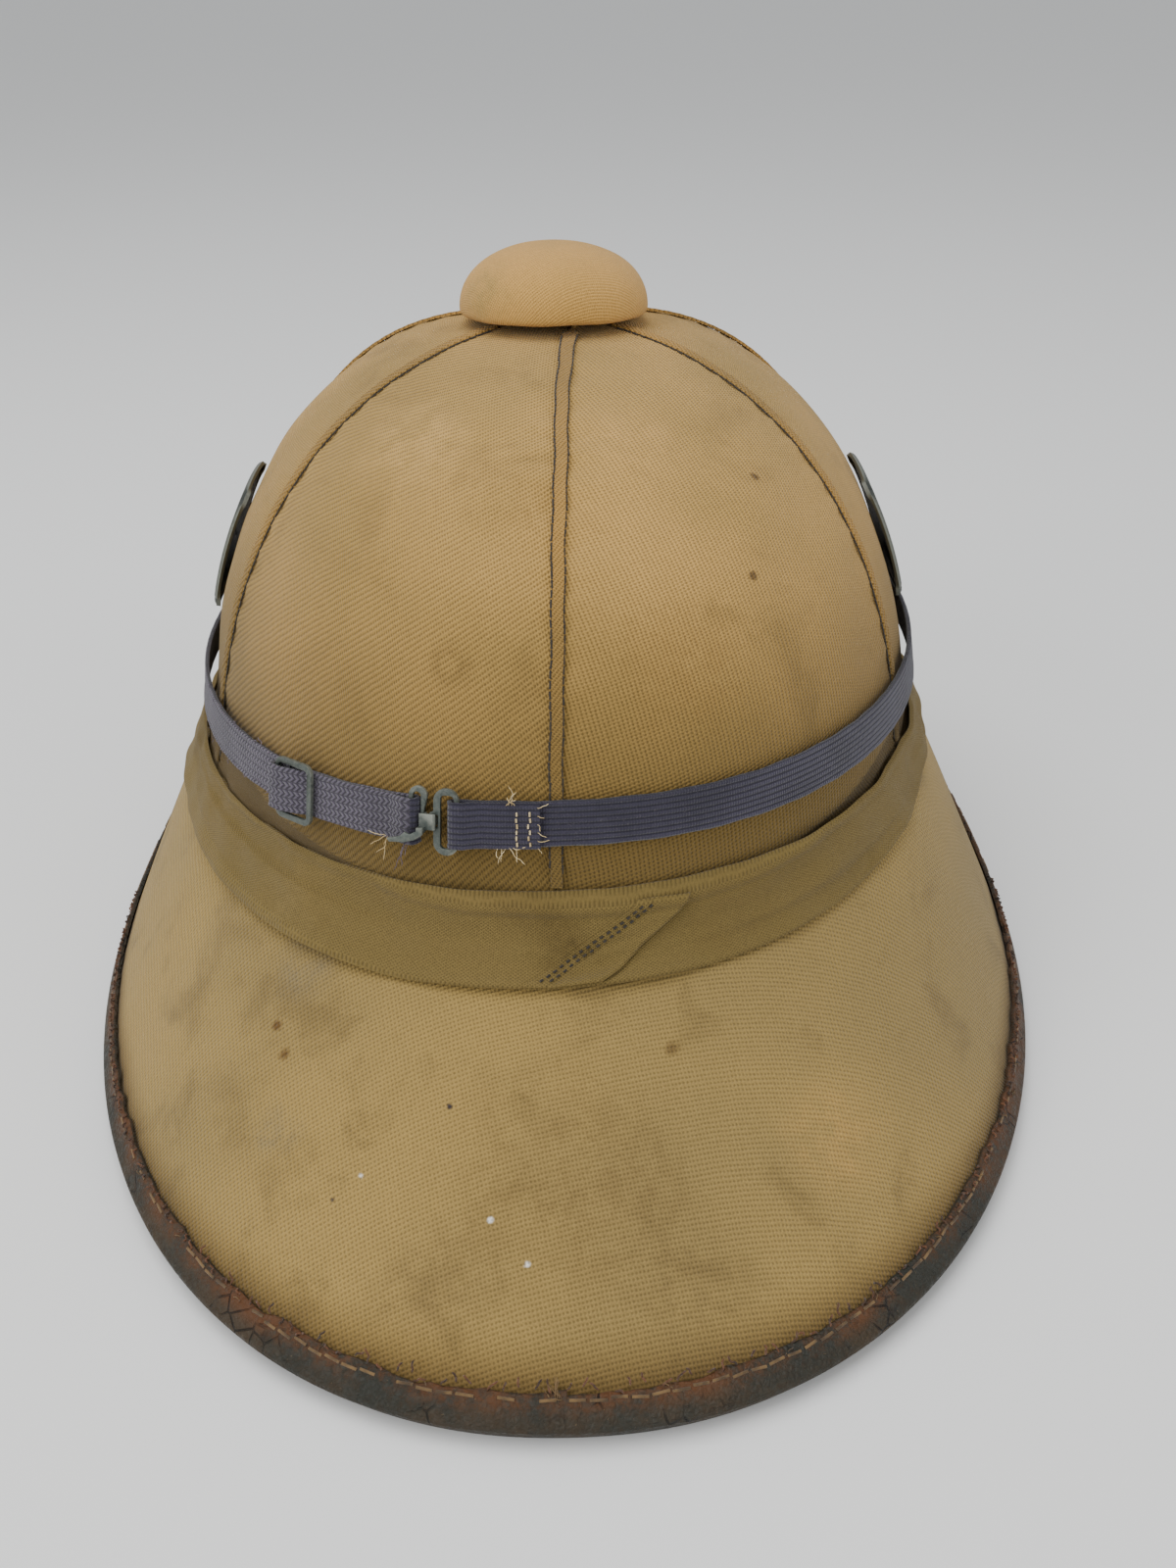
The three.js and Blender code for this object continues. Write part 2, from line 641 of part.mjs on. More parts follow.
// A bent strip: its profile along the strap and outwards, made as wide as asked across the strap
function bentStrip(profile, middleHeight, height) {
  const strip = new THREE.ExtrudeGeometry(polygon(profile), { depth: height, bevelEnabled: false });
  return strip.rotateX(Math.PI / 2).translate(0, middleHeight + height / 2, 0);
}
const tongue = bentStrip(
  [
    [hook.neckLeft, barLevel],
    [hook.neckRight, barLevel],
    [hook.neckRight, tongueLow],
    [hook.tongueTip, tongueLow],
    [hook.tongueTip, tongueHigh - 0.3],
    [hook.tongueTip - 0.4, tongueHigh],
    [hook.neckLeft, tongueHigh],
  ],
  0,
  3.4,
);
const tongueTip = bentStrip(
  [
    [hook.tongueTip - tipWidth, barLevel - metalThickness / 2],
    [hook.tongueTip, barLevel - metalThickness / 2],
    [hook.tongueTip, tongueLow + 0.3],
    [hook.tongueTip - tipWidth, tongueLow + 0.3],
  ],
  0,
  1.8,
);
const armLevel = barLevel + turnLevel + webbingThickness / 2 + clearance + 0.5;
const armOutline = polygon([
  [hook.neckRight, -1],
  [hook.neckRight, -2.4],
  [hook.left + 2.5, -3.6],
  [hook.left, -4.4],
  [hook.left - 3.3, -4.6],
  [hook.left - 3.8, -3.9],
  [hook.left - 1.1, -3.3],
  [hook.left + 0.1, -2.2],
  [hook.left + 1.2, -2.6],
  [hook.neckLeft, -1.8],
  [hook.neckLeft, -1],
]);
const armPost = polygon([
  [hook.neckLeft, -2.2],
  [hook.neckRight, -2.2],
  [hook.neckRight, -1],
  [hook.neckLeft, -1],
]);
const postDepth = armLevel - barLevel + 0.4 + metalThickness / 2;
const hookGeometry = joined([
  sheetPiece(hookShape, barLevel),
  tongue,
  tongueTip,
  sheetPiece(armOutline, armLevel, 0.8),
  sheetPiece(armPost, barLevel - metalThickness / 2 + postDepth / 2, postDepth),
]);
addPiece("clasp_hook", hookGeometry, materials.metal, claspFrame);

// Slider: a rounded frame; the webbing passes under its right bar and folds over its left bar
const sliderShape = roundedRectangle(
  -slider.width / 2,
  -slider.height / 2,
  slider.width / 2,
  slider.height / 2,
  slider.cornerRadius,
);
sliderShape.holes.push(
  roundedRectangle(
    -slider.width / 2 + slider.leftBarWidth,
    -slider.height / 2 + slider.barWidth,
    slider.width / 2 - slider.barWidth,
    slider.height / 2 - slider.barWidth,
    slider.cornerRadius - slider.barWidth,
    THREE.Path,
  ),
);
const sliderFrame = strapFrame(slider.azimuth, 0, slider.sink);
addPiece("strap_slider", sheetPiece(sliderShape, sliderLevel), materials.metal, sliderFrame);

// The frame's origin is on the ground, under the middle of the helmet's outline
helmet.updateMatrixWorld(true);
const outline = new THREE.Box3().setFromObject(helmet, true);
const middle = outline.getCenter(new THREE.Vector3());
helmet.position.set(-middle.x, -middle.y, -outline.min.z);

export default helmet;
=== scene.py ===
import math
import random

import bpy
import numpy as np
from mathutils import Matrix, Vector


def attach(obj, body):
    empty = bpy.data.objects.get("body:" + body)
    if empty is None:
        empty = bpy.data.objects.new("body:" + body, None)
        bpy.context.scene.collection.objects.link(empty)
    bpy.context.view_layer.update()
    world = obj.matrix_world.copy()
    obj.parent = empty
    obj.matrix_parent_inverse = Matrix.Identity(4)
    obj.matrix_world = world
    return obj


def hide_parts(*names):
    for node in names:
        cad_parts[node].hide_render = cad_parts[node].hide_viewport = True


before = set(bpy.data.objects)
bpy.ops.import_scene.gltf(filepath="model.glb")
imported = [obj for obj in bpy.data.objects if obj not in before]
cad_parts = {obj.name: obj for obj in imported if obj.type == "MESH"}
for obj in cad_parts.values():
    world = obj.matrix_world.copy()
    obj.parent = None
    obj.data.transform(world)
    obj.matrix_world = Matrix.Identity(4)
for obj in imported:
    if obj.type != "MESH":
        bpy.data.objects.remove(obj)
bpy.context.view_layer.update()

bpy.ops.object.select_all(action="DESELECT")

# Sizes are in millimetres here, and are turned into metres when a mesh is placed
mm = 0.001
frameShift = np.array([0.0, 17.874, 0.0])       # from the crown's axis to the part's own origin
insidePoint = Vector((0.0, 0.02, 0.06))         # metres, well inside the crown
lastStation = 3.0                               # the rim
halvings = 22                                   # of the search for a height on the surface

helmetForm = {
    "halfWidth": 90.6, "rear": 111.2, "front": 112.0, "planPower": 2.13,
    "springHeight": 50.1, "rise": 111.6, "wallPower": 2.54, "topPower": 2.28,
    "leanRight": 0.2, "leanForward": 6.9, "holeRadius": 9.5,
    "rimHalfWidth": 121.6, "rimRear": 191.7, "rimFront": 156.0,
    "rimRearPower": 2.16, "rimFrontPower": 2.33, "frontArch": 5.0,
    "footEnd": 55.4, "footSide": 72.0, "filletUp": 10.0, "filletOut": 11.0, "bulge": 0.4,
}
layers = {"clearance": 0.3, "canvas": 1.0, "cork": 5.0, "corkRim": 2.4, "leather": 1.2,
          "underClearance": 0.8, "floorCut": 0.5, "fold": 0.5, "band": 1.4, "bandSeat": 0.6,
          "webbing": 0.9, "metal": 0.9}


# The surface of the helmet: azimuth in degrees from the rear, station 0-1 crown, 1-2 fillet, 2-3 brim

def between(first, last, share):
    return first + (last - first) * share


def limited(value):
    return np.clip(value, 0, 1)


def hill(value, centre, width):
    # a smooth hump, 1 at its centre
    return np.exp(-((value - centre) / width) ** 2)


def fromRear(azimuth):
    return (azimuth + 180) % 360 - 180


def unit(vectors):
    return vectors / np.linalg.norm(vectors, axis=-1, keepdims=True)


def planRadius(turn, halfWidth, rear, front, rearPower, frontPower):
    across, along = np.abs(np.sin(turn)), np.cos(turn)
    length = np.where(along > 0, rear, front)
    power = np.where(along > 0, rearPower, frontPower)
    return ((across / halfWidth) ** power + (np.abs(along) / length) ** power) ** (-1 / power)


def crownPlan(turn):
    f = helmetForm
    return planRadius(turn, f["halfWidth"], f["rear"], f["front"], f["planPower"], f["planPower"])


def archOver(turn):
    # the front of the rim rises a little off the table
    return np.where(np.cos(turn) < 0, helmetForm["frontArch"] * np.sin(2 * turn) ** 2, 0)


def bindingDepth():
    return sum(layers[name] for name in ("canvas", "clearance", "corkRim", "underClearance", "leather"))


def canvasFace(azimuth, station):
    f = helmetForm
    azimuth, station = np.broadcast_arrays(np.asarray(azimuth, float), np.asarray(station, float))
    turn = np.radians(azimuth)
    radius = crownPlan(turn)
    foot = between(f["footEnd"], f["footSide"], np.sin(turn) ** 2)

    def crownPoint(fall):
        share = limited(np.cos(fall)) ** (2 / f["wallPower"])
        reach = radius * np.sin(fall) ** (2 / f["topPower"])
        return np.stack([reach * np.sin(turn) + f["leanRight"] * share,
                         -reach * np.cos(turn) + f["leanForward"] * share,
                         f["springHeight"] + f["rise"] * share], -1)

    def fallAt(height):
        return np.arccos(((height - f["springHeight"]) / f["rise"]) ** (f["wallPower"] / 2))

    wallFall = fallAt(foot + f["filletUp"])
    topFall = np.arcsin((f["holeRadius"] / radius) ** (f["topPower"] / 2))
    crownPart = crownPoint(between(topFall, wallFall, limited(station)))
    corner = crownPoint(fallAt(foot))
    rimRadius = planRadius(turn, f["rimHalfWidth"], f["rimRear"], f["rimFront"],
                           f["rimRearPower"], f["rimFrontPower"])
    slope = np.arctan2(foot - bindingDepth(), rimRadius - radius)
    edgeHeight = (layers["leather"] + layers["clearance"]) * np.sin(slope) + bindingDepth() * np.cos(slope)
    edge = np.stack([rimRadius * np.sin(turn), -rimRadius * np.cos(turn),
                     edgeHeight - layers["floorCut"] + archOver(turn)], -1)
    down = unit(edge - corner)
    start = corner + down * f["filletOut"]
    t = limited(station - 1)[..., None]
    filletPart = (1 - t) ** 2 * crownPoint(wallFall) + 2 * t * (1 - t) * corner + t * t * start
    sideways = np.stack([np.cos(turn), np.sin(turn), 0 * turn], -1)
    out = unit(np.cross(down, sideways))
    middle = (start + edge) / 2 + out * 2 * f["bulge"]
    t = limited(station - 2)[..., None]
    brimPart = (1 - t) ** 2 * start + 2 * t * (1 - t) * middle + t * t * edge
    s = station[..., None]
    return np.where(s <= 1, crownPart, np.where(s <= 2, filletPart, brimPart))


def faceNormal(azimuth, station):
    azimuth, station = np.broadcast_arrays(np.asarray(azimuth, float), np.asarray(station, float))
    little = 0.01
    below, above = np.minimum(station + little, lastStation), np.maximum(station - little, 0)
    down = canvasFace(azimuth, below) - canvasFace(azimuth, above)
    around = canvasFace(azimuth + little, station) - canvasFace(azimuth - little, station)
    return unit(np.cross(down, around))


def standOff(azimuth, station, distance):
    distance = np.asarray(distance, float)
    return canvasFace(azimuth, station) + faceNormal(azimuth, station) * distance[..., None]


def stationAt(azimuth, height):
    azimuth, height = np.broadcast_arrays(np.asarray(azimuth, float), np.asarray(height, float))
    low, high = np.zeros(azimuth.shape), np.full(azimuth.shape, lastStation)
    for _ in range(halvings):
        middle = (low + high) / 2
        above = canvasFace(azimuth, middle)[..., 2] > height
        low, high = np.where(above, middle, low), np.where(above, high, middle)
    return (low + high) / 2


waves = {"count": 7, "scales": (0.6, 1.7), "evened": 3.2}


def ripple(u, v, seed, size):
    # gentle unevenness from a few crossed waves, about -1 to 1
    rng = np.random.default_rng(seed)
    total = np.zeros(np.shape(u))
    for _ in range(waves["count"]):
        angle, phase = rng.uniform(0, math.pi), rng.uniform(0, 2 * math.pi)
        scale = rng.uniform(*waves["scales"])
        along = u * math.cos(angle) + v * math.sin(angle)
        total = total + np.sin(along * 2 * math.pi / (size * scale) + phase)
    return total / waves["evened"]


# Mesh helpers

def gridPiece(name, columns, rows, place, closed=False):
    # each vertex of a flat grid is moved to place(u share, v share), which also gives its place on the cloth
    bpy.ops.object.select_all(action="DESELECT")
    bpy.ops.mesh.primitive_grid_add(x_subdivisions=columns, y_subdivisions=rows, size=1)
    piece = bpy.context.object
    piece.name = name
    mesh = piece.data
    flat = np.empty(len(mesh.vertices) * 3)
    mesh.vertices.foreach_get("co", flat)
    flat = flat.reshape(-1, 3)
    across, along = flat[:, 0] + 0.5, flat[:, 1] + 0.5
    points, cloth = place(across, along)
    mesh.vertices.foreach_set("co", ((points + frameShift) * mm).ravel())
    corners = np.empty(len(mesh.loops), int)
    mesh.loops.foreach_get("vertex_index", corners)
    layer = mesh.uv_layers[0] if mesh.uv_layers else mesh.uv_layers.new()
    layer.name = "cloth"
    layer.data.foreach_set("uv", (cloth * mm)[corners].ravel())
    mesh.update()
    if closed:
        weld(piece)
    return piece


def pickOnly(piece):
    bpy.ops.object.select_all(action="DESELECT")
    piece.select_set(True)
    bpy.context.view_layer.objects.active = piece


def editWhole(piece, operator, **settings):
    pickOnly(piece)
    bpy.ops.object.mode_set(mode="EDIT")
    bpy.ops.mesh.select_all(action="SELECT")
    operator(**settings)
    bpy.ops.object.mode_set(mode="OBJECT")


def weld(piece, distance=0.00002):
    editWhole(piece, bpy.ops.mesh.remove_doubles, threshold=distance)


def facesOut(piece):
    editWhole(piece, bpy.ops.mesh.normals_make_consistent, inside=False)


def applyModifier(piece, kind, **settings):
    pickOnly(piece)
    modifier = piece.modifiers.new(kind.title(), kind)
    for key, value in settings.items():
        setattr(modifier, key, value)
    bpy.ops.object.modifier_apply(modifier=modifier.name)


def wallOf(piece, thickness):
    # the grid is the outer face; the wall grows inwards
    sample = piece.data.polygons[len(piece.data.polygons) // 2]
    if sample.normal.dot(sample.center - insidePoint) < 0:
        piece.data.flip_normals()
    applyModifier(piece, "SOLIDIFY", thickness=thickness * mm, offset=-1, use_even_offset=False)


def finishPiece(piece, materials, nodes, angle=40):
    pickOnly(piece)
    bpy.ops.object.shade_smooth_by_angle(angle=math.radians(angle))
    piece.data.materials.clear()
    for material in materials:
        piece.data.materials.append(material)
    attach(piece, "root")
    if nodes:
        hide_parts(*nodes)


def meshFrom(name, points, faces):
    mesh = bpy.data.meshes.new(name)
    placed = (np.array(points) + frameShift) * mm
    mesh.from_pydata([tuple(p) for p in placed], [], [tuple(f) for f in faces])
    mesh.update()
    piece = bpy.data.objects.new(name, mesh)
    bpy.context.collection.objects.link(piece)
    facesOut(piece)
    return piece


stitch = {"sides": 6, "inset": 0.2, "push": 0.12, "flatness": 0.8, "bow": 0.22, "tilt": 0.1,
          "lengths": (0.88, 1.05)}
tiny = 1e-6


def stitchShape():
    # one stitch: a short plump thread along X, 1 long and 1 thick
    bpy.ops.object.select_all(action="DESELECT")
    bpy.ops.mesh.primitive_cylinder_add(vertices=stitch["sides"], radius=0.5, depth=1,
                                        rotation=(0, math.pi / 2, 0))
    shape = bpy.context.object
    bpy.ops.object.transform_apply(location=False, rotation=True, scale=True)
    bpy.ops.object.mode_set(mode="EDIT")
    bpy.ops.mesh.select_all(action="DESELECT")
    bpy.ops.object.mode_set(mode="OBJECT")
    for face in shape.data.polygons:
        face.select = abs(face.normal.x) > 0.9
    bpy.ops.object.mode_set(mode="EDIT")
    bpy.ops.mesh.select_mode(type="FACE")
    bpy.ops.mesh.inset(thickness=stitch["inset"], depth=stitch["push"])
    bpy.ops.object.mode_set(mode="OBJECT")
    points = np.array([v.co for v in shape.data.vertices])
    faces = [list(p.vertices) for p in shape.data.polygons]
    bpy.data.objects.remove(shape)
    return points, faces


stitchPoints, stitchFaces = stitchShape()


def stitchRow(path, normals, pitch, length, thickness, seed, sink=0.12, skip=0.0, wander=0.08):
    # copies of the stitch along a path, one at each pitch, some left out where the thread is gone
    rng = random.Random(seed)
    steps = np.linalg.norm(np.diff(path, axis=0), axis=1)
    run = np.concatenate([[0], np.cumsum(steps)])
    points, faces = [], []
    for i in range(int(run[-1] / pitch)):
        if rng.random() < skip:
            continue
        middle = (i + 0.5) * pitch
        ends = [np.array([np.interp(middle + side * length / 2, run, path[:, k]) for k in range(3)])
                for side in (-1, 1)]
        up = np.array([np.interp(middle, run, normals[:, k]) for k in range(3)])
        up /= np.linalg.norm(up)
        along = ends[1] - ends[0]
        span = np.linalg.norm(along)
        along /= max(span, tiny)
        side = np.cross(up, along)
        side /= max(np.linalg.norm(side), tiny)
        centre = (ends[0] + ends[1]) / 2 + up * (thickness / 2 - sink) + side * rng.uniform(-wander, wander)
        tilt = rng.uniform(-stitch["tilt"], stitch["tilt"])
        along = along * math.cos(tilt) + side * math.sin(tilt)
        side = np.cross(up, along)
        sizes = [span * rng.uniform(*stitch["lengths"]), thickness, thickness * stitch["flatness"]]
        shaped = stitchPoints * sizes
        start = len(points)
        bow = stitch["bow"] * thickness * (1 - (2 * stitchPoints[:, 0]) ** 2)
        for p, lift in zip(shaped, bow):
            points.append(centre + along * p[0] + side * p[1] + up * (p[2] + lift))
        faces.extend([[start + v for v in face] for face in stitchFaces])
    return meshFrom("stitchRow", points, faces)


def joinPieces(name, pieces):
    bpy.ops.object.select_all(action="DESELECT")
    for piece in pieces:
        piece.select_set(True)
    bpy.context.view_layer.objects.active = pieces[0]
    bpy.ops.object.join()
    pieces[0].name = name
    return pieces[0]


def threads(name, strands, thickness):
    # loose fibres: each strand is a tube along its own points, drawn thin at its ends
    sides, endShare = 5, 0.35
    points, faces = [], []
    for strand in strands:
        strand = np.array(strand, float)
        count = len(strand)
        for i in range(count):
            ahead = strand[min(i + 1, count - 1)] - strand[max(i - 1, 0)]
            ahead /= max(np.linalg.norm(ahead), tiny)
            side = np.cross(ahead, [0.3, 0.2, 1.0])
            side /= max(np.linalg.norm(side), tiny)
            other = np.cross(ahead, side)
            radius = thickness / 2 * (endShare if i in (0, count - 1) else 1)
            for k in range(sides):
                a = 2 * math.pi * k / sides
                points.append(strand[i] + radius * (math.cos(a) * side + math.sin(a) * other))
        base = len(points) - count * sides
        for i in range(count - 1):
            for k in range(sides):
                a, b = base + i * sides + k, base + i * sides + (k + 1) % sides
                faces.append([a, b, b + sides, a + sides])
        faces.append([base + k for k in range(sides)][::-1])
        faces.append([base + (count - 1) * sides + k for k in range(sides)])
    return meshFrom(name, points, faces)


# Material helpers

def newMaterial(name):
    material = bpy.data.materials.new(name)
    material.use_nodes = True
    tree = material.node_tree
    return material, tree, tree.nodes["Principled BSDF"]


def node(tree, kind, inputs=None, **settings):
    made = tree.nodes.new(kind)
    for key, value in settings.items():
        setattr(made, key, value)
    for key, value in (inputs or {}).items():
        if hasattr(value, "links"):
            tree.links.new(value, made.inputs[key])
        else:
            made.inputs[key].default_value = value
    return made


def calc(tree, operation, first, second, clamp=False):
    made = node(tree, "ShaderNodeMath", {0: first, 1: second}, operation=operation, use_clamp=clamp)
    return made.outputs[0]


def times(tree, first, second, clamp=False):
    return calc(tree, "MULTIPLY", first, second, clamp)


def plus(tree, first, second):
    return calc(tree, "ADD", first, second)


def mixed(tree, factor, first, second, blend="MIX"):
    made = node(tree, "ShaderNodeMix", data_type="RGBA", blend_type=blend)
    for socket, value in ((0, factor), (6, first), (7, second)):
        if hasattr(value, "links"):
            tree.links.new(value, made.inputs[socket])
        elif socket == 0:
            made.inputs[socket].default_value = value
        else:
            made.inputs[socket].default_value = (*value, 1)
    return made.outputs[2]


def stepped(tree, value, low, high, start=0.0, end=1.0):
    return node(tree, "ShaderNodeMapRange", {0: value, 1: low, 2: high, 3: start, 4: end},
                interpolation_type="SMOOTHSTEP").outputs[0]


def noiseAt(tree, place, scale, detail=3.0, rough=0.55, warp=0.0):
    inputs = {"Vector": place, "Scale": scale, "Detail": detail, "Roughness": rough, "Distortion": warp}
    return node(tree, "ShaderNodeTexNoise", inputs).outputs["Fac"]


def objectPlace(tree):
    return node(tree, "ShaderNodeTexCoord").outputs["Object"]


def clothPlace(tree):
    # the cloth's own map in millimetres
    source = node(tree, "ShaderNodeUVMap", uv_map="cloth").outputs[0]
    return node(tree, "ShaderNodeMapping", {"Vector": source, "Scale": (1 / mm, 1 / mm, 1 / mm)}).outputs[0]


def vectorMath(tree, operation, inputs, output=0):
    return node(tree, "ShaderNodeVectorMath", inputs, operation=operation).outputs[output]


def splitPlace(tree, place):
    return node(tree, "ShaderNodeSeparateXYZ", {0: place}).outputs


def finishMaterial(tree, shader, colour, height, distance, strength, values):
    # colour and relief are linked, and what is the same all over stands on the shader's own sockets
    tree.links.new(colour, shader.inputs["Base Color"])
    for socket, value in values.items():
        if hasattr(value, "links"):
            tree.links.new(value, shader.inputs[socket])
        else:
            shader.inputs[socket].default_value = value
    bump = node(tree, "ShaderNodeBump", {"Height": height, "Distance": distance * mm, "Strength": strength})
    tree.links.new(bump.outputs[0], shader.inputs["Normal"])


def ribs(tree, turn, pitch, wobble):
    # parallel ribs, pitch in millimetres, turned by an angle on the cloth's own map
    place = clothPlace(tree)
    drift = node(tree, "ShaderNodeTexNoise", {"Vector": place, "Scale": 0.16 / pitch, "Detail": 2.0})
    moved = vectorMath(tree, "SUBTRACT", {0: drift.outputs["Color"], 1: (0.5, 0.5, 0.5)})
    moved = vectorMath(tree, "SCALE", {0: moved, "Scale": wobble * pitch})
    place = vectorMath(tree, "ADD", {0: place, 1: moved})
    turned = node(tree, "ShaderNodeMapping", {"Vector": place, "Rotation": (0, 0, math.radians(turn))})
    return node(tree, "ShaderNodeTexWave", {"Vector": turned.outputs[0], "Scale": math.pi / (10 * pitch)},
                wave_type="BANDS", bands_direction="X").outputs["Fac"]


def marks(*rows):
    # each mark: its place in millimetres, radius, colour and strength, and whether it is a ring
    return [dict(zip(("at", "radius", "colour", "strength", "ring"), row)) for row in rows]


markForm = {"jitter": 1.6, "jitterScale": 480.0, "core": 0.2, "edge": 1.15, "hollow": (0.15, 0.5),
            "brokenFrom": 3, "brokenNoise": (170.0, 5.0, 0.7), "brokenSteps": (0.36, 0.66, 0.15, 1.0)}


def spotMask(tree, place, spot):
    # a soft-edged mark round a place on the helmet, its edge broken up by noise
    f = markForm
    radius = spot["radius"] * mm
    apart = vectorMath(tree, "DISTANCE", {0: place, 1: tuple(c * mm for c in spot["at"])}, "Value")
    uneven = calc(tree, "SUBTRACT", noiseAt(tree, place, f["jitterScale"] / spot["radius"], 4), 0.5)
    apart = plus(tree, apart, times(tree, uneven, radius * f["jitter"]))
    inside = stepped(tree, apart, radius * f["core"], radius * f["edge"], 1.0, 0.0)
    if spot.get("ring"):
        hollow = [radius * share for share in f["hollow"]]
        inside = times(tree, inside, stepped(tree, apart, *hollow))
    if spot["radius"] > f["brokenFrom"]:
        broken = stepped(tree, noiseAt(tree, place, *f["brokenNoise"]), *f["brokenSteps"])
        inside = times(tree, inside, broken)
    return times(tree, inside, spot["strength"])


clothForm = {"fuzz": (2600.0, 4.0, 0.65), "broad": (14.0, 3.0, 0.5), "patchNoise": (5.0, 0.6, 0.4),
             "broadSteps": (0.32, 0.68), "patchSteps": (0.5, 0.72), "pitSteps": (0.36, 0.78),
             "pitShare": 0.66, "fuzzInPits": 0.5, "fuzzSteps": (0.3, 0.7, 0.88, 1.10), "fuzzInRelief": 0.35,
             "strength": 0.9, "rough": 0.93, "specular": 0.18, "sheen": 0.12, "sheenRough": 0.5}


def clothMaterial(name, look):
    f = {**clothForm, **look}
    material, tree, shader = newMaterial(name)
    place = objectPlace(tree)
    main = ribs(tree, f["ribTurn"], f["ribPitch"], f["wobble"])
    cross = ribs(tree, f["crossTurn"], f["crossPitch"], f["wobble"])
    weave = plus(tree, times(tree, main, f["ribShare"]), times(tree, cross, 1 - f["ribShare"]))
    fuzz = noiseAt(tree, place, *f["fuzz"])
    patchy = noiseAt(tree, place, f["patchScale"], *f["patchNoise"])
    broad = noiseAt(tree, place, *f["broad"])
    colour = mixed(tree, stepped(tree, broad, *f["broadSteps"]), f["colour"], f["second"])
    patches = times(tree, stepped(tree, patchy, *f["patchSteps"]), f["patchShare"])
    colour = mixed(tree, patches, colour, f["patch"])
    # a darkening towards the bottom: on the crown it is painted shade, on the brim it is dirt along the
    # binding
    low = f.get("lowShadeAndDirt")
    if low:
        near = stepped(tree, splitPlace(tree, place)[2], low["from"] * mm, low["to"] * mm, 1.0, 0.0)
        colour = mixed(tree, times(tree, near, low["share"]), colour, low["colour"])
    for spot in f["spots"]:
        colour = mixed(tree, spotMask(tree, place, spot), colour, spot["colour"])
    # painted shade: the colour is darkened in the pits of the weave
    pits = stepped(tree, plus(tree, weave, times(tree, fuzz, f["fuzzInPits"])), *f["pitSteps"])
    shade = plus(tree, times(tree, pits, f["weaveDark"]), 1 - f["weaveDark"] * f["pitShare"])
    shade = times(tree, shade, stepped(tree, fuzz, *f["fuzzSteps"]))
    grey = node(tree, "ShaderNodeCombineXYZ", {0: shade, 1: shade, 2: shade}).outputs[0]
    colour = mixed(tree, 1.0, colour, grey, "MULTIPLY")
    relief = plus(tree, weave, times(tree, fuzz, f["fuzzInRelief"]))
    finishMaterial(tree, shader, colour, relief, f["relief"], f["strength"], {
        "Roughness": f["rough"], "Specular IOR Level": f["specular"],
        "Sheen Weight": f["sheen"], "Sheen Roughness": f["sheenRough"]})
    return material


threadForm = {"tone": (260.0, 3.0), "toneSteps": (0.35, 0.65), "fibre": (5200.0, 2.0), "relief": 0.08,
              "rough": 0.85, "sheen": 0.2}


def threadMaterial(name, colour, second):
    f = threadForm
    material, tree, shader = newMaterial(name)
    place = objectPlace(tree)
    colour = mixed(tree, stepped(tree, noiseAt(tree, place, *f["tone"]), *f["toneSteps"]), colour, second)
    finishMaterial(tree, shader, colour, noiseAt(tree, place, *f["fibre"]), f["relief"], 1.0,
                   {"Roughness": f["rough"], "Sheen Weight": f["sheen"]})
    return material


# Camera and light

view = {"place": (3.44, -362.58, 247.92), "pitch": 29.51, "pan": 0.55, "roll": -0.71,
        "focalPixels": 1572.3, "photoHeight": 1600, "sensor": 36, "near": 0.01}
pitch, pan, roll = (math.radians(view[k]) for k in ("pitch", "pan", "roll"))
ahead = Vector((math.sin(pan) * math.cos(pitch), math.cos(pan) * math.cos(pitch), -math.sin(pitch)))
sideAxis = Vector((math.cos(pan), -math.sin(pan), 0))
upAxis = sideAxis.cross(ahead)
upTurned = upAxis * math.cos(roll) - sideAxis * math.sin(roll)
sideTurned = sideAxis * math.cos(roll) + upAxis * math.sin(roll)
camera = bpy.data.objects.new("camera", bpy.data.cameras.new("camera"))
bpy.context.collection.objects.link(camera)
turnMatrix = Matrix((sideTurned, upTurned, -ahead)).transposed().to_4x4()
camera.matrix_world = Matrix.Translation(Vector(view["place"]) * mm) @ turnMatrix
camera.data.sensor_fit = "VERTICAL"
camera.data.sensor_height = view["sensor"]
camera.data.lens = view["focalPixels"] * view["sensor"] / view["photoHeight"]
camera.data.clip_start = view["near"]
bpy.context.scene.camera = camera

lighting = {
    "world": 0.62, "worldColour": (0.96, 0.98, 1.0, 1), "aim": (0, -0.03, 0.08),
    "floorSize": 12, "floorColour": (0.86, 0.86, 0.85, 1), "floorRough": 0.9,
    "lamps": [
        {"name": "overhead", "at": (-0.25, -0.15, 1.25), "size": 1.1, "power": 11.0},
        {"name": "leftSoft", "at": (-0.95, -0.85, 0.75), "size": 0.8, "power": 7.5},
        {"name": "rightFill", "at": (1.0, -0.7, 0.55), "size": 0.9, "power": 4.4},
    ],
}
world = bpy.data.worlds.new("studio")
bpy.context.scene.world = world
world.use_nodes = True
sky = world.node_tree.nodes["Background"]
sky.inputs[0].default_value = lighting["worldColour"]
sky.inputs[1].default_value = lighting["world"]
for lamp in lighting["lamps"]:
    light = bpy.data.objects.new(lamp["name"], bpy.data.lights.new(lamp["name"], "AREA"))
    bpy.context.collection.objects.link(light)
    light.location = lamp["at"]
    towards = Vector(lighting["aim"]) - Vector(lamp["at"])
    light.rotation_euler = towards.to_track_quat("-Z", "Y").to_euler()
    light.data.size = lamp["size"]
    light.data.energy = lamp["power"]

bpy.ops.mesh.primitive_plane_add(size=lighting["floorSize"])
floor = bpy.context.object
floor.name = "floor"
floorMaterial, _, floorShader = newMaterial("paleFloor")
floorShader.inputs["Base Color"].default_value = lighting["floorColour"]
floorShader.inputs["Roughness"].default_value = lighting["floorRough"]
floor.data.materials.append(floorMaterial)
print("camera, light and floor")

# Crown gores

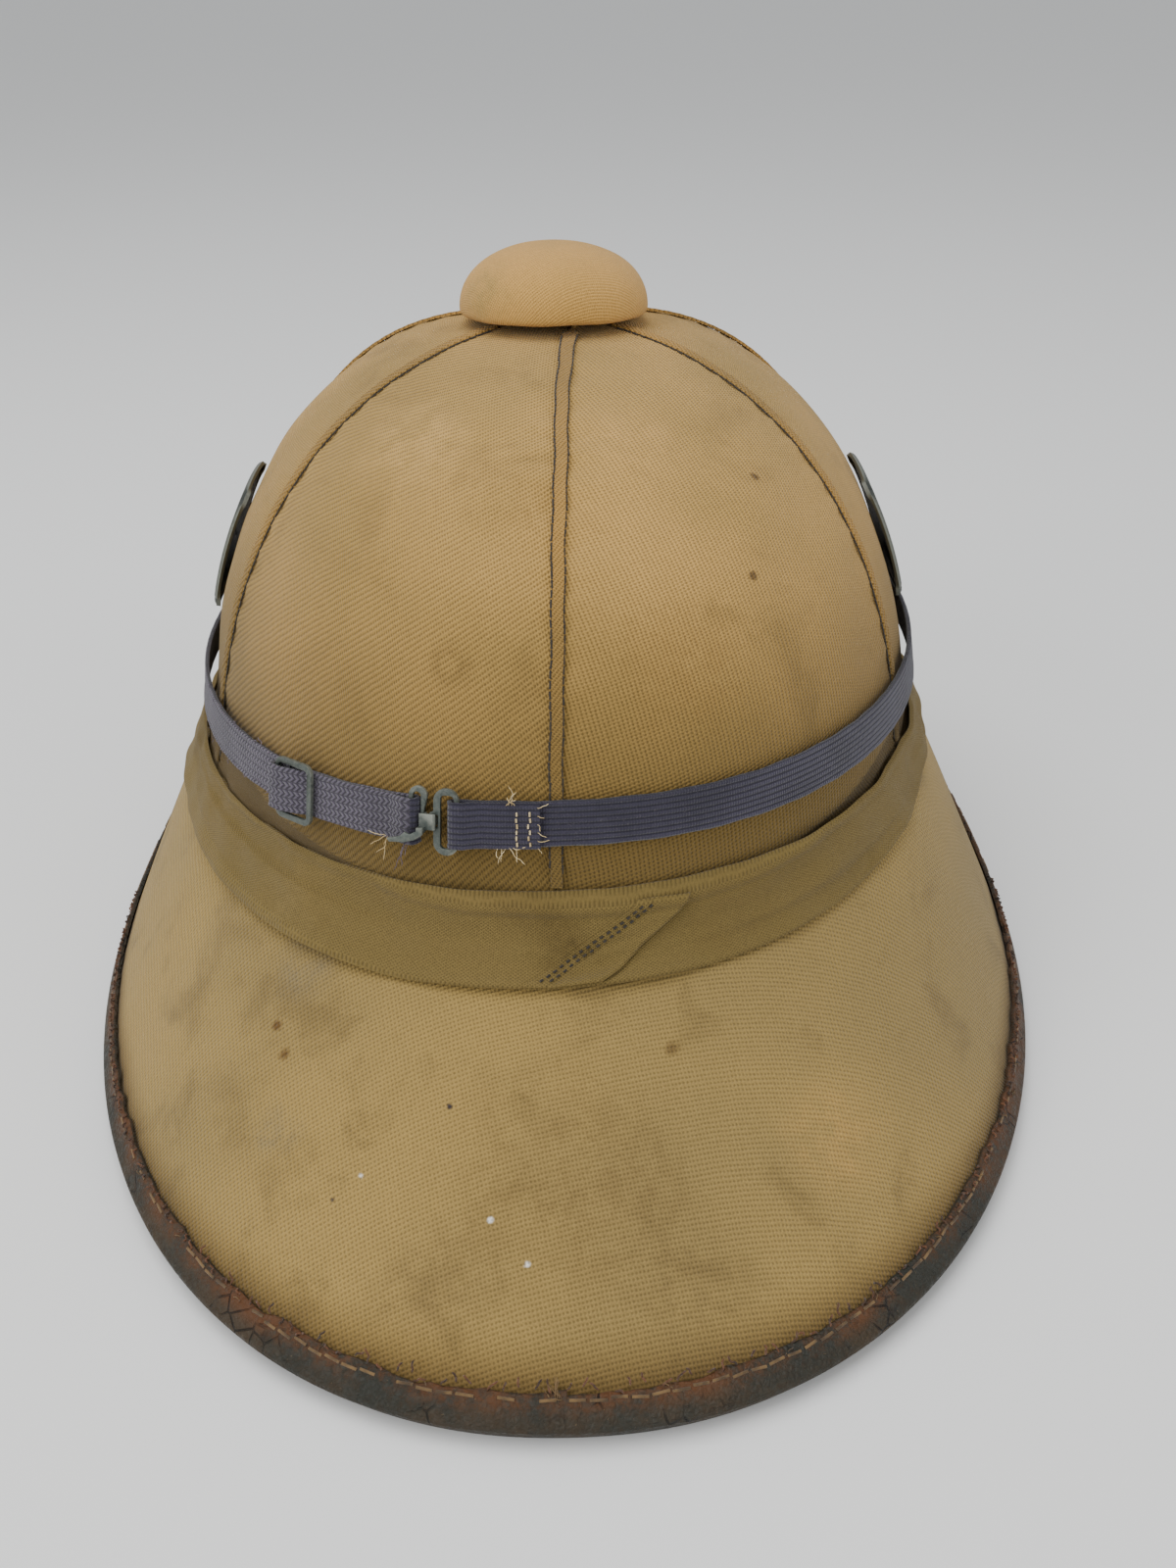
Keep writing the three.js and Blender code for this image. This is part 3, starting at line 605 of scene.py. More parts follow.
crownSpots = marks(
    ((-22.0, -74.1, 113.2), 6, (0.136, 0.082, 0.027), 0.5, True),
    ((44.1, -34.4, 139.1), 1.3, (0.075, 0.040, 0.013), 0.8),
    ((42.4, -55.3, 124.4), 1.3, (0.075, 0.040, 0.013), 0.8),
    ((-1.2, -53.6, 139.3), 15, (0.229, 0.132, 0.033), 0.35),
    ((26.6, -75.6, 108.1), 17, (0.213, 0.121, 0.031), 0.35),
    ((-50.1, -64.0, 104.2), 16, (0.178, 0.110, 0.036), 0.3),
    ((18.1, -36.6, 148.1), 12, (0.626, 0.364, 0.112), 0.35),
    ((-31.1, -30.2, 147.4), 16, (0.634, 0.386, 0.129), 0.4),
)
twill = {
    "colour": (0.514, 0.306, 0.089), "second": (0.345, 0.217, 0.062), "patch": (0.214, 0.132, 0.041),
    "ribPitch": 0.98, "crossPitch": 0.55, "crossTurn": 0, "ribShare": 0.6, "wobble": 0.5,
    "weaveDark": 0.55, "relief": 0.34, "patchScale": 42.0, "patchShare": 0.5, "spots": crownSpots,
    # painted shade: the crown darkens from near its top down to the cloth band
    "lowShadeAndDirt": {"from": 68, "to": 150, "share": 1.0, "colour": (0.139, 0.089, 0.024)},
}
twillLeft = clothMaterial("twillLeaningRight", {**twill, "ribTurn": 55, "crossTurn": -32})
twillRight = clothMaterial("twillSteep", {**twill, "ribTurn": -8, "crossTurn": 80})

gores = {"seams": [0, 57.5, 120, 180, 240, 301.5, 360], "end": 1.31, "sideReach": 0.6,
         "columns": 72, "rows": 104, "length": 113.0, "wall": 0.9, "most": 0.32,
         "steep": (0, 1, 4),                            # the gores with the steeper twill
         "puckerDepth": 0.32, "puckerLength": 7.5, "puckerReach": 7.0, "puckerDrift": 1.7, "hemWidth": 1.5,
         "unevenness": 0.28, "unevenSize": 38, "unevenReach": 10}
gathers = {"seam": 301.5, "depth": 0.24, "length": 1.75, "from": 3.6, "width": 2.4,
           "start": 0.22, "end": 0.9, "rowsMore": 4}
seamLeans = {0: (2.6, -3.6, 0.0), gathers["seam"]: (0.0, 12.0, -12.6)}


def seamLean(azimuth, station):
    # millimetres sideways: two seams were sewn a little off their lines
    start, slope, bow = seamLeans.get(azimuth % 360, (0.0, 0.0, 0.0))
    reach = np.clip(station, 0, 1.15)
    return start + slope * reach + bow * reach ** 2


def goreEnd(azimuth):
    # at the sides the gores reach further down the fillet, so that their ends stay under the cloth band
    return gores["end"] + gores["sideReach"] * np.sin(np.radians(azimuth)) ** 2


def gorePlace(leftSeam, rightSeam, seed):
    def place(u, v):
        g = gores
        straight = between(leftSeam, rightSeam, u)
        station = v * goreEnd(straight)
        start = canvasFace(straight, station)
        perMillimetre = np.degrees(1 / np.hypot(start[:, 0], start[:, 1]))
        left = leftSeam + seamLean(leftSeam, station) * perMillimetre
        right = rightSeam + seamLean(rightSeam, station) * perMillimetre
        azimuth = between(left, right, u)
        middle = canvasFace(azimuth, station)
        distance = np.hypot(middle[:, 0], middle[:, 1] - helmetForm["leanForward"] * limited(1 - v))
        fromLeft = np.radians(azimuth - left) * distance
        fromRight = np.radians(right - azimuth) * distance
        gap = np.degrees(layers["clearance"] / 2 / np.maximum(distance, 5))
        azimuth = azimuth + gap * (1 - 2 * u) * (np.minimum(u, 1 - u) < 1e-4)
        down = station * g["length"]
        near = np.minimum(fromLeft, fromRight)
        # puckers beside the seams, then the cork's own unevenness
        drift = g["puckerDrift"] * ripple(down, fromLeft, seed, 40)
        wave = np.sin(2 * math.pi * down / g["puckerLength"] + drift)
        depth = g["puckerDepth"] * hill(near, 0, g["puckerReach"]) * (wave - 0.4)
        depth = depth * limited(near / g["hemWidth"]) * limited(v * 4)
        uneven = ripple(fromLeft, down, seed + 5, g["unevenSize"]) - 0.6
        depth = depth + g["unevenness"] * uneven * limited(near / g["unevenReach"])
        if rightSeam == gathers["seam"]:
            folds = np.sin(2 * math.pi * (down + 0.5 * fromRight) / gathers["length"])
            folds = folds * hill(fromRight, gathers["from"], gathers["width"])
            reach = limited((v - gathers["start"]) * 5) * limited((gathers["end"] - v) * 8)
            depth = depth + gathers["depth"] * folds * reach
        depth = np.minimum(depth, g["most"]) * limited((1.2 - v) * 8)
        return standOff(azimuth, station, depth), np.stack([(fromLeft - fromRight) / 2, -down], -1)
    return place


for i in range(6):
    left, right = gores["seams"][i], gores["seams"][i + 1]
    rows = gores["rows"] * (gathers["rowsMore"] if right == gathers["seam"] else 1)
    gore = gridPiece("goreCloth%d" % (i + 1), gores["columns"], rows, gorePlace(left, right, 20 + i))
    wallOf(gore, gores["wall"])
    cloth = twillRight if i in gores["steep"] else twillLeft
    finishPiece(gore, [cloth], ["crown_gore_%d" % (i + 1)])
print("crown gores")

# Brim cover

brimSpots = marks(
    ((-54.7, -86.7, 49.8), 10, (0.154, 0.126, 0.080), 0.55),
    ((-60.6, -116.6, 27.5), 7, (0.174, 0.138, 0.080), 0.5),
    ((2.0, -137.2, 28.4), 30, (0.158, 0.102, 0.036), 0.5),
    ((22.9, -150.3, 18.6), 17, (0.128, 0.086, 0.034), 0.4),
    ((-27.2, -149.2, 18.6), 16, (0.158, 0.105, 0.041), 0.35),
    ((-62.0, -97.3, 39.0), 1.6, (0.086, 0.038, 0.009), 0.8),
    ((-59.9, -103.4, 36.3), 1.8, (0.086, 0.038, 0.009), 0.8),
    ((22.9, -111.8, 42.5), 2.4, (0.071, 0.038, 0.013), 0.7),
    ((-47.0, -133.4, 23.1), 0.8, (0.04, 0.03, 0.03), 1.0),
    ((-27.9, -150.2, 18.2), 0.8, (0.04, 0.03, 0.03), 1.0),
    ((-23.3, -121.5, 36.5), 0.8, (0.04, 0.03, 0.03), 1.0),
    ((-41.2, -130.5, 26.9), 0.8, (0.75, 0.72, 0.66), 1.0),
    ((-14.7, -141.6, 25.1), 0.8, (0.75, 0.72, 0.66), 1.0),
    ((-7.3, -149.1, 20.8), 0.8, (0.75, 0.72, 0.66), 1.0),
    ((55.8, -119.9, 27.9), 14, (0.474, 0.273, 0.073), 0.4),
)
brimTwill = clothMaterial("brimTwill", {
    **twill, "ribTurn": 78, "ribPitch": 0.85, "crossTurn": -12, "crossPitch": 0.8, "ribShare": 0.55,
    "weaveDark": 0.42, "patchShare": 0.55, "patchScale": 55.0, "spots": brimSpots,
    "colour": (0.326, 0.217, 0.066), "second": (0.250, 0.173, 0.059), "patch": (0.152, 0.102, 0.036),
    "lowShadeAndDirt": {"from": 6, "to": 15, "share": 0.85, "colour": (0.063, 0.035, 0.012)},
})
brim = {"columns": 420, "rows": 46, "startGap": 0.05, "unevenness": 0.35, "unevenSize": 46, "most": 0.12,
        "wall": 0.9}


def brimPlace(u, v):
    azimuth = 360 * u
    start = goreEnd(azimuth) + brim["startGap"]
    station = between(start, lastStation, v)
    point = canvasFace(azimuth, station)
    depth = brim["unevenness"] * (ripple(point[:, 0], point[:, 1], 3, brim["unevenSize"]) - 0.7)
    depth = np.minimum(depth, brim["most"]) * np.sin(math.pi * limited(v)) ** 0.5
    points = standOff(azimuth, station, depth)
    # the brim is one piece of cloth, so its weave runs straight along the helmet
    return points, points[:, :2]


brimCover = gridPiece("brimCloth", brim["columns"], brim["rows"], brimPlace, closed=True)
wallOf(brimCover, brim["wall"])
finishPiece(brimCover, [brimTwill], ["brim_cover"])
print("brim cover")

# Seam folds and their stitches

seamCloth = clothMaterial("seamCloth", {
    **twill, "ribTurn": 35, "crossTurn": -55, "ribPitch": 0.8, "spots": [], "patchShare": 0.35,
    "colour": (0.421, 0.233, 0.058), "second": (0.248, 0.150, 0.043),
})
# near-black: the dark thread's own colour, with painted shade of the stitch holes
darkThreadAndHoleShade = threadMaterial("darkThreadAndHoleShade", (0.012, 0.009, 0.006), (0.027, 0.019, 0.009))
tanThread = threadMaterial("tanThread", (0.164, 0.095, 0.031), (0.053, 0.030, 0.011))
paleThread = threadMaterial("paleThread", (0.666, 0.540, 0.307), (0.448, 0.321, 0.143))

band = {"topHeight": 69.2, "bottomHeight": 50.2, "bottomSideRise": 7.4, "tilt": 2.6}


def bandTop(azimuth):
    return band["topHeight"] + band["tilt"] * np.sin(np.radians(azimuth))


def bandBottom(azimuth):
    turn = np.radians(azimuth)
    return band["bottomHeight"] + band["bottomSideRise"] * np.sin(turn) ** 2 + band["tilt"] * np.sin(turn)


seamForm = {"columns": 12, "rows": 190, "wall": 0.25, "topGap": 0.6, "seat": 0.28, "ridge": (0.55, 0.22),
            "flatRidge": (0.52, 0.16), "pinch": 0.10, "pitch": 2.1, "stitch": 1.5, "thread": 0.32}
seamFolds = [
    {"node": "seam_fold_rear", "azimuth": 0, "width": 2.6, "rows": (-1.0, 0.95), "high": 0},
    {"node": "seam_fold_right_rear", "azimuth": 57.5, "width": 2.0, "rows": (-0.95,), "high": 1},
    {"node": "seam_fold_right_front", "azimuth": 120, "width": 2.0, "rows": (0.95,), "high": -1},
    {"node": "seam_fold_front", "azimuth": 180, "width": 2.6, "rows": (-1.0, 1.0), "high": 0},
    {"node": "seam_fold_left_front", "azimuth": 240, "width": 2.0, "rows": (-0.95,), "high": 1},
    {"node": "seam_fold_left_rear", "azimuth": 301.5, "width": 2.0, "rows": (0.95,), "high": -1},
]


def besideSeam(seamAzimuth, share, across):
    # a line along a seam, some millimetres to its side and wandering a little, down to the cloth band
    start = float(stationAt(seamAzimuth, canvasFace(seamAzimuth, 0)[2] - seamForm["topGap"]))
    end = float(stationAt(seamAzimuth, bandTop(seamAzimuth) + seamForm["topGap"]))
    station = between(start, end, share)
    middle = canvasFace(seamAzimuth, station)
    wander = 0.22 * np.sin(share * 21.0) * np.exp(-share * 2.2) + 0.10 * np.sin(share * 57.0 + 1.0)
    offset = across + wander + seamLean(seamAzimuth, station)
    return seamAzimuth + np.degrees(offset / np.hypot(middle[:, 0], middle[:, 1])), station


def seamPlace(seam, number):
    def place(u, v):
        side = 2 * u - 1
        across = side * seam["width"] / 2
        azimuth, station = besideSeam(seam["azimuth"], v, across)
        edge = limited((1 - np.abs(side)) * 5) ** 0.5
        if seam["high"]:
            ridge = seamForm["ridge"][0] + seamForm["ridge"][1] * seam["high"] * side
        else:
            ridge = seamForm["flatRidge"][0] + seamForm["flatRidge"][1] * side
        pinch = seamForm["pinch"] * np.sin(v * 260.0 + 3 * u) * (1 - np.abs(side))
        points = standOff(azimuth, station, seamForm["seat"] + ridge * edge + pinch)
        return points, np.stack([across + 40 * number, -150 * v], -1)
    return place


for number, seam in enumerate(seamFolds):
    place = seamPlace(seam, number)
    strip = gridPiece("seamFold%d" % (number + 1), seamForm["columns"], seamForm["rows"], place)
    wallOf(strip, seamForm["wall"])
    finishPiece(strip, [seamCloth], [seam["node"]])
    # the rows of a two-row seam lie on its fold, and a single row beside it
    onFold = len(seam["rows"]) == 2
    reach, level = (0.5, 0.62) if onFold else (0.675, 0.15)
    shares = np.linspace(0.01, 0.985, 200)
    rows = []
    for k, across in enumerate(seam["rows"]):
        azimuth, station = besideSeam(seam["azimuth"], shares, across * seam["width"] * reach)
        path = standOff(azimuth, station, np.full(len(shares), level))
        rows.append(stitchRow(path, faceNormal(azimuth, station), seamForm["pitch"], seamForm["stitch"],
                              seamForm["thread"], number * 7 + k))
    finishPiece(joinPieces("seamStitches%d" % (number + 1), rows), [darkThreadAndHoleShade], ())
print("seams")

# Cloth band and its lapped end

bandCloth = clothMaterial("bandCloth", {
    "ribPitch": 0.62, "ribTurn": 45, "crossTurn": -45, "crossPitch": 0.62, "ribShare": 0.5, "wobble": 0.45,
    "weaveDark": 0.40, "relief": 0.22, "patchScale": 36.0, "patchShare": 0.45, "sheen": 0.1,
    "colour": (0.166, 0.115, 0.037), "second": (0.150, 0.105, 0.032), "patch": (0.088, 0.057, 0.015),
    "spots": marks(
        # painted shade in the dent beside the lap
        ((1.5, -96.5, 56.9), 9, (0.054, 0.033, 0.009), 0.5),
        ((-60.0, -78.0, 58.0), 13, (0.226, 0.156, 0.052), 0.4),
        ((37.2, -86.0, 62.0), 13, (0.128, 0.084, 0.025), 0.35),
    ),
})


bandForm = {
    "columns": 620, "rows": 56, "wall": 0.75, "mapRadius": 104.0, "mapHeight": -23.0,
    # each: depth, share of the way down, width
    "hem": (0.24, 0.075, 0.045), "hemGroove": (-0.12, 0.165, 0.035), "lip": (0.22, 0.95, 0.05),
    # each: depth, azimuth, width
    "leftPleat": (0.8, -38, 26), "rightPleat": (0.6, 35, 22),
    # each: depth, azimuth, width, share of the way down, width
    "dent": (-0.75, -0.3, 2.6, 0.66, 0.2), "creases": (0.16, -1, 5, 0.7, 0.25),
    "softness": 0.5, "topRound": (0.9, 0.03), "bottomRound": (0.7, 0.025),
    "tuck": {"azimuth": -52.5, "depth": 0.36, "width": 1.6, "drop": 0.05, "dropWidth": 2.0},
    "least": -0.95, "most": 1.1,
}


def bandStation(azimuth, share):
    return between(stationAt(azimuth, bandTop(azimuth)), stationAt(azimuth, bandBottom(azimuth)), share)


def bandDepth(azimuth, share):
    # a rolled hem at the top, a turned edge at the bottom, two lazy pleats and small wrinkles by the lap
    near = fromRear(azimuth)
    turn = np.radians(near)
    shapes = {
        "leftPleat": np.tanh((share - 0.48 - 0.16 * np.sin(turn * 1.3 + 0.5)) * 26),
        "rightPleat": np.tanh((0.62 - share + 0.1 * np.sin(turn * 2)) * 22),
        "dent": 1, "creases": np.sin(near * 3.1 + share * 14),
    }
    depth = bandForm["softness"] * ripple(near * 1.9, share * 24, 9, 22)
    for name in ("hem", "hemGroove", "lip"):
        most, *across = bandForm[name]
        depth = depth + most * hill(share, *across)
    for name, shape in shapes.items():
        most, azimuthAt, width, *across = bandForm[name]
        depth = depth + most * shape * hill(near, azimuthAt, width) * (hill(share, *across) if across else 1)
    (topRound, topReach), (bottomRound, bottomReach) = bandForm["topRound"], bandForm["bottomRound"]
    depth = depth - topRound * limited((topReach - share) / topReach) ** 2
    depth = depth - bottomRound * limited((share - 1 + bottomReach) / bottomReach) ** 2
    return np.clip(depth, bandForm["least"], bandForm["most"])


def bandMap(azimuth, share, shift=0):
    return np.stack([np.radians(azimuth) * bandForm["mapRadius"] + shift, bandForm["mapHeight"] * share], -1)


bandOuter = layers["bandSeat"] + layers["band"]


def bandPlace(u, v):
    azimuth = 360 * u
    tuck = bandForm["tuck"]
    near = fromRear(azimuth)
    # the small tuck at the left
    dip = tuck["depth"] * hill(near, tuck["azimuth"], tuck["width"]) * (1 - v)
    share = v + tuck["drop"] * hill(near, tuck["azimuth"], tuck["dropWidth"]) * (1 - v)
    points = standOff(azimuth, bandStation(azimuth, share), bandOuter - 0.1 + bandDepth(azimuth, v) - dip)
    return points, bandMap(azimuth, v)


bandPiece = gridPiece("puggareeCloth", bandForm["columns"], bandForm["rows"], bandPlace, closed=True)
wallOf(bandPiece, bandForm["wall"])
finishPiece(bandPiece, [bandCloth], ["puggaree_band"], angle=80)

lap = {"stitched": (9.8, -2.6), "folded": (14.0, 3.8), "underReach": 1.6, "columns": 40, "rows": 60,
       "wall": 0.5, "seat": 0.12, "stitchRows": (-0.55, 0.5), "stitchSeat": 0.42,
       "pitch": 1.75, "stitch": 0.72, "thread": 0.4, "sink": 0.1}


def lapPlace(u, v):
    bow = 0.7 * np.sin(v * math.pi) + 0.35 * np.sin(v * 9)
    azimuth = between(between(*lap["stitched"], v) - lap["underReach"], between(*lap["folded"], v) + bow, u)
    share = 0.015 + 0.975 * v
    lift = 0.35 * limited(u * 3) + 0.85 * limited((u - 0.45) / 0.5) ** 1.5
    lift = lift - 0.65 * limited((u - 0.93) / 0.07) ** 2
    wrinkle = 0.22 * np.sin(v * 17 + u * 5) * np.sin(u * math.pi) * limited(v * 1.6)
    seamDip = -0.28 * hill(u, 0.34, 0.05)
    level = bandOuter + lap["seat"] + bandDepth(azimuth, share) + lift * 0.9 + wrinkle + seamDip
    return standOff(azimuth, bandStation(azimuth, share), level), bandMap(azimuth, v, 300)


lapPiece = gridPiece("puggareeLap", lap["columns"], lap["rows"], lapPlace)
wallOf(lapPiece, lap["wall"])
finishPiece(lapPiece, [bandCloth], ["puggaree_join"], angle=80)
# the lap's rows of stitch holes, drawn as near-black stitches: painted shade
lapRows = []
for k, offset in enumerate(lap["stitchRows"]):
    share = np.linspace(0.03, 0.97, 60)
    azimuth = between(*lap["stitched"], share) + offset
    station = bandStation(azimuth, share)
    path = standOff(azimuth, station, bandOuter + lap["stitchSeat"] + bandDepth(azimuth, share))
    lapRows.append(stitchRow(path, faceNormal(azimuth, station), lap["pitch"], lap["stitch"], lap["thread"],
                             60 + k, sink=lap["sink"]))
finishPiece(joinPieces("puggareeStitches", lapRows), [darkThreadAndHoleShade], ())
print("cloth band")

# Leather binding

def edgesAt(tree, place, scale):
    return node(tree, "ShaderNodeTexVoronoi", {"Vector": place, "Scale": scale},
                feature="DISTANCE_TO_EDGE").outputs["Distance"]


def leatherMaterial(name, look):
    material, tree, shader = newMaterial(name)
    place = objectPlace(tree)
    grain, cracks = edgesAt(tree, place, look["grainScale"]), edgesAt(tree, place, look["crackScale"])
    crackArea = stepped(tree, noiseAt(tree, place, 70.0, 4.0), 0.48, 0.62)
    crackShare = times(tree, stepped(tree, cracks, 0.0, look["crackWidth"], 1.0, 0.0), crackArea)
    broad = noiseAt(tree, place, 55.0, 5.0, 0.65)
    fine = noiseAt(tree, place, 700.0, 4.0, 0.7)
    colour = mixed(tree, stepped(tree, broad, 0.35, 0.65), look["colour"], look["second"])
    # worn brown along the upper edge and over the outer bend, more at the right
    edgeWear = stepped(tree, splitPlace(tree, clothPlace(tree))[1], *look["wearSteps"], 1.0, 0.0)
    ragged = stepped(tree, plus(tree, times(tree, broad, 0.7), times(tree, fine, 0.4)), 0.42, 0.66)
    wear = times(tree, plus(tree, times(tree, edgeWear, 0.75), 0.16), ragged)
    colour = mixed(tree, times(tree, wear, look["wearShare"], clamp=True), colour, look["worn"])
    rightShare = stepped(tree, splitPlace(tree, place)[0], *look["rightSteps"])
    colour = mixed(tree, times(tree, rightShare, ragged), colour, look["worn"])
    colour = mixed(tree, times(tree, crackShare, look["crackDark"]), colour, look["crack"])
    # painted highlight: small light specks mixed into the colour as glints on the leather
    paintedGlints = stepped(tree, noiseAt(tree, place, 1500.0, 3.0, 0.8), 0.66, 0.74)
    colour = mixed(tree, times(tree, paintedGlints, 0.5), colour, look["paintedGlint"])
    height = plus(tree, times(tree, grain, 0.7), times(tree, broad, 0.9))
    height = calc(tree, "SUBTRACT", height, times(tree, crackShare, 0.9))
    height = plus(tree, height, times(tree, fine, 0.4))
    finishMaterial(tree, shader, colour, height, look["relief"], 1.0, {
        "Roughness": stepped(tree, fine, 0.3, 0.7, *look["rough"]), "Specular IOR Level": look["specular"]})
    return material


bindingLeather = leatherMaterial("wornLeather", {
    "colour": (0.020, 0.020, 0.014), "second": (0.032, 0.026, 0.014), "worn": (0.090, 0.035, 0.011),
    # the light tan colour on the next line is painted highlight for the small glints
    "crack": (0.005, 0.004, 0.004), "paintedGlint": (0.274, 0.176, 0.083), "grainScale": 900.0, "crackScale": 240.0,
    "crackWidth": 0.06, "crackDark": 0.75, "wearSteps": (1.2, 5.4), "wearShare": 1.15,
    "rightSteps": (0.06, 0.115, 0.0, 0.55), "rough": (0.50, 0.78), "specular": 0.32, "relief": 0.9,
})
binding = {"reach": 5.8, "corner": 0.9, "columns": 460, "rows": 32, "bend": 0.2, "mapRadius": 150.0,
           "seamReach": -4.35, "seamWander": 0.12, "seamRise": 1.5, "underReach": -4.2}
topStitches = {"pitch": 3.9, "length": 2.7, "thickness": 0.5, "seed": 81, "sink": 0.2, "skip": 0.22,
               "wander": 0.25}
underStitches = {"pitch": 4.2, "length": 2.9, "thickness": 0.5, "seed": 82}


def bindingSection(azimuth):
    edge = canvasFace(azimuth, lastStation)
    along = unit(edge - canvasFace(azimuth, lastStation - 1 / 3))
    turn = np.radians(azimuth)
    sideways = np.stack([np.cos(turn), np.sin(turn), 0 * turn], -1)
    up = unit(np.cross(along, sideways))
    outer = layers["clearance"] + layers["leather"]
    under = -bindingDepth()
    ground = archOver(turn)
    reachDown = (ground - edge[:, 2] - outer * along[:, 2]) / up[:, 2]
    reachIn = (ground - edge[:, 2] - under * up[:, 2]) / along[:, 2]
    ragged = 0.5 * ripple(azimuth * 2.2, 0, 41, 11) + 0.3 * ripple(azimuth * 2.2, 0, 42, 3.5)
    reach, corner = binding["reach"] + ragged, outer - binding["corner"]
    inner, gap = under + layers["leather"], layers["clearance"]
    section = [
        (-reach, outer * 0.80), (-reach + 0.35, outer), (-reach * 0.55, outer + 0.05), (-reach * 0.2, outer),
        (corner, outer), (outer, corner), (outer, reachDown * 0.5), (outer, reachDown),
        (reachIn, under), (reachIn * 0.5 - reach * 0.5, under), (-reach, under),
        (-reach, inner), (0.1, inner), (gap, 0), (0, gap - 0.05), (-reach, gap - 0.05),
    ]
    section = [np.broadcast_arrays(s, n, azimuth)[:2] for s, n in section]
    return edge, along, up, section


def bindingPlace(u, v):
    azimuth = 360 * np.unique(np.round(u, 6))
    edge, along, up, section = bindingSection(azimuth)
    ring = np.stack([edge + along * s[:, None] + up * n[:, None] for s, n in section])
    # each corner is cut off once, so the bends are rounded
    bend, following = binding["bend"], np.roll(ring, -1, axis=0)
    ring = np.stack([ring * (1 - bend) + following * bend, ring * bend + following * (1 - bend)], axis=1)
    ring = ring.reshape(-1, *edge.shape)
    lengths = np.linalg.norm(np.diff(np.concatenate([ring, ring[:1]]), axis=0), axis=-1).mean(axis=1)
    run = np.concatenate([[0], np.cumsum(lengths)])
    closed = np.concatenate([ring, ring[:1]])
    column = np.rint(u * (len(azimuth) - 1)).astype(int)
    place = v * (len(closed) - 1)
    low = np.minimum(np.floor(place + tiny).astype(int), len(closed) - 2)
    share = (place - low)[:, None]
    points = closed[low, column] * (1 - share) + closed[low + 1, column] * share
    points[:, 2] = np.maximum(points[:, 2], 0.0)
    down = between(run[low], run[low + 1], share[:, 0])
    return points, np.stack([np.radians(azimuth[column]) * binding["mapRadius"], down], -1)


bindingPiece = gridPiece("rimBinding", binding["columns"], binding["rows"], bindingPlace, closed=True)
facesOut(bindingPiece)
finishPiece(bindingPiece, [bindingLeather], ["edge_binding"], angle=60)

around = np.linspace(0, 360, 1400)
edge, along, up, section = bindingSection(around)
wander = binding["seamWander"] * ripple(around * 2, 0 * around, 5, 60)
seamPath = edge + along * (binding["seamReach"] + wander)[:, None] + up * binding["seamRise"]
underPath = edge + along * binding["underReach"] - up * bindingDepth()
edgeStitches = [stitchRow(seamPath, up, **topStitches), stitchRow(underPath, -up, **underStitches)]
finishPiece(joinPieces("bindingStitches", edgeStitches), [tanThread], ())
print("leather binding")

# Ventilator cap

capForm = {"radius": 23.1, "height": 15.2, "wall": 2.4, "lip": 1.7, "airGap": 1.8, "tilt": -4.2,
           "power": 2.15, "seat": 1.4, "unevenness": 0.12, "unevenSize": 16, "columns": 140, "rows": 90}
capTwill = clothMaterial("capTwill", {
    **twill, "ribTurn": 62, "crossTurn": -28, "ribPitch": 0.72, "weaveDark": 0.36, "relief": 0.2,
    "lowShadeAndDirt": None,
    "colour": (0.537, 0.301, 0.081), "second": (0.441, 0.255, 0.068), "patch": (0.328, 0.206, 0.064),
    "patchShare": 0.35,
    "spots": marks(((-16, 12, 170), 9, (0.258, 0.183, 0.056), 0.5)),
})


def capPlace(u, v):
    f = capForm
    power, radius, top, lip = 2 / f["power"], f["radius"], f["height"], f["lip"]
    inRadius, inTop = radius - f["wall"], top - f["wall"]
    angles = np.radians(np.linspace(0, 90, 40))[::-1]
    dome = [(radius * max(math.cos(a), 0) ** power, top * math.sin(a) ** power) for a in angles[1:]]
    edge = [(radius - 0.12, -0.55 * lip), (radius - 0.9, -0.92 * lip), (radius - lip, -lip),
            (radius - 2 * lip, -lip), (inRadius - 0.6, 0.0)]
    hollow = [(inRadius * math.cos(a) ** power, inTop * math.sin(a) ** power)
              for a in np.radians(np.linspace(8, 88, 10))]
    line = np.array([(0.0, top), *dome, *edge, *hollow, (0.0, inTop)])
    run = np.concatenate([[0], np.cumsum(np.hypot(*np.diff(line, axis=0).T))])
    place = v * run[-1]
    reach, height = np.interp(place, run, line[:, 0]), np.interp(place, run, line[:, 1])
    turn = 2 * math.pi * u
    x, y = reach * np.sin(turn), -reach * np.cos(turn)
    height = height + f["unevenness"] * ripple(x, y, 77, f["unevenSize"]) * (reach / 24)
    tilt = math.radians(f["tilt"])
    y, height = y * math.cos(tilt) - height * math.sin(tilt), y * math.sin(tilt) + height * math.cos(tilt)
    plane = helmetForm["springHeight"] + helmetForm["rise"] + f["airGap"] + lip - f["seat"]
    points = np.stack([x + helmetForm["leanRight"], y + helmetForm["leanForward"], height + plane], -1)
    return points, np.stack([place * np.sin(turn), -place * np.cos(turn)], -1)


capPiece = gridPiece("ventCapCloth", capForm["columns"], capForm["rows"], capPlace, closed=True)
facesOut(capPiece)
finishPiece(capPiece, [capTwill], ["vent_cap"])
print("ventilator cap")

# Elastic strap

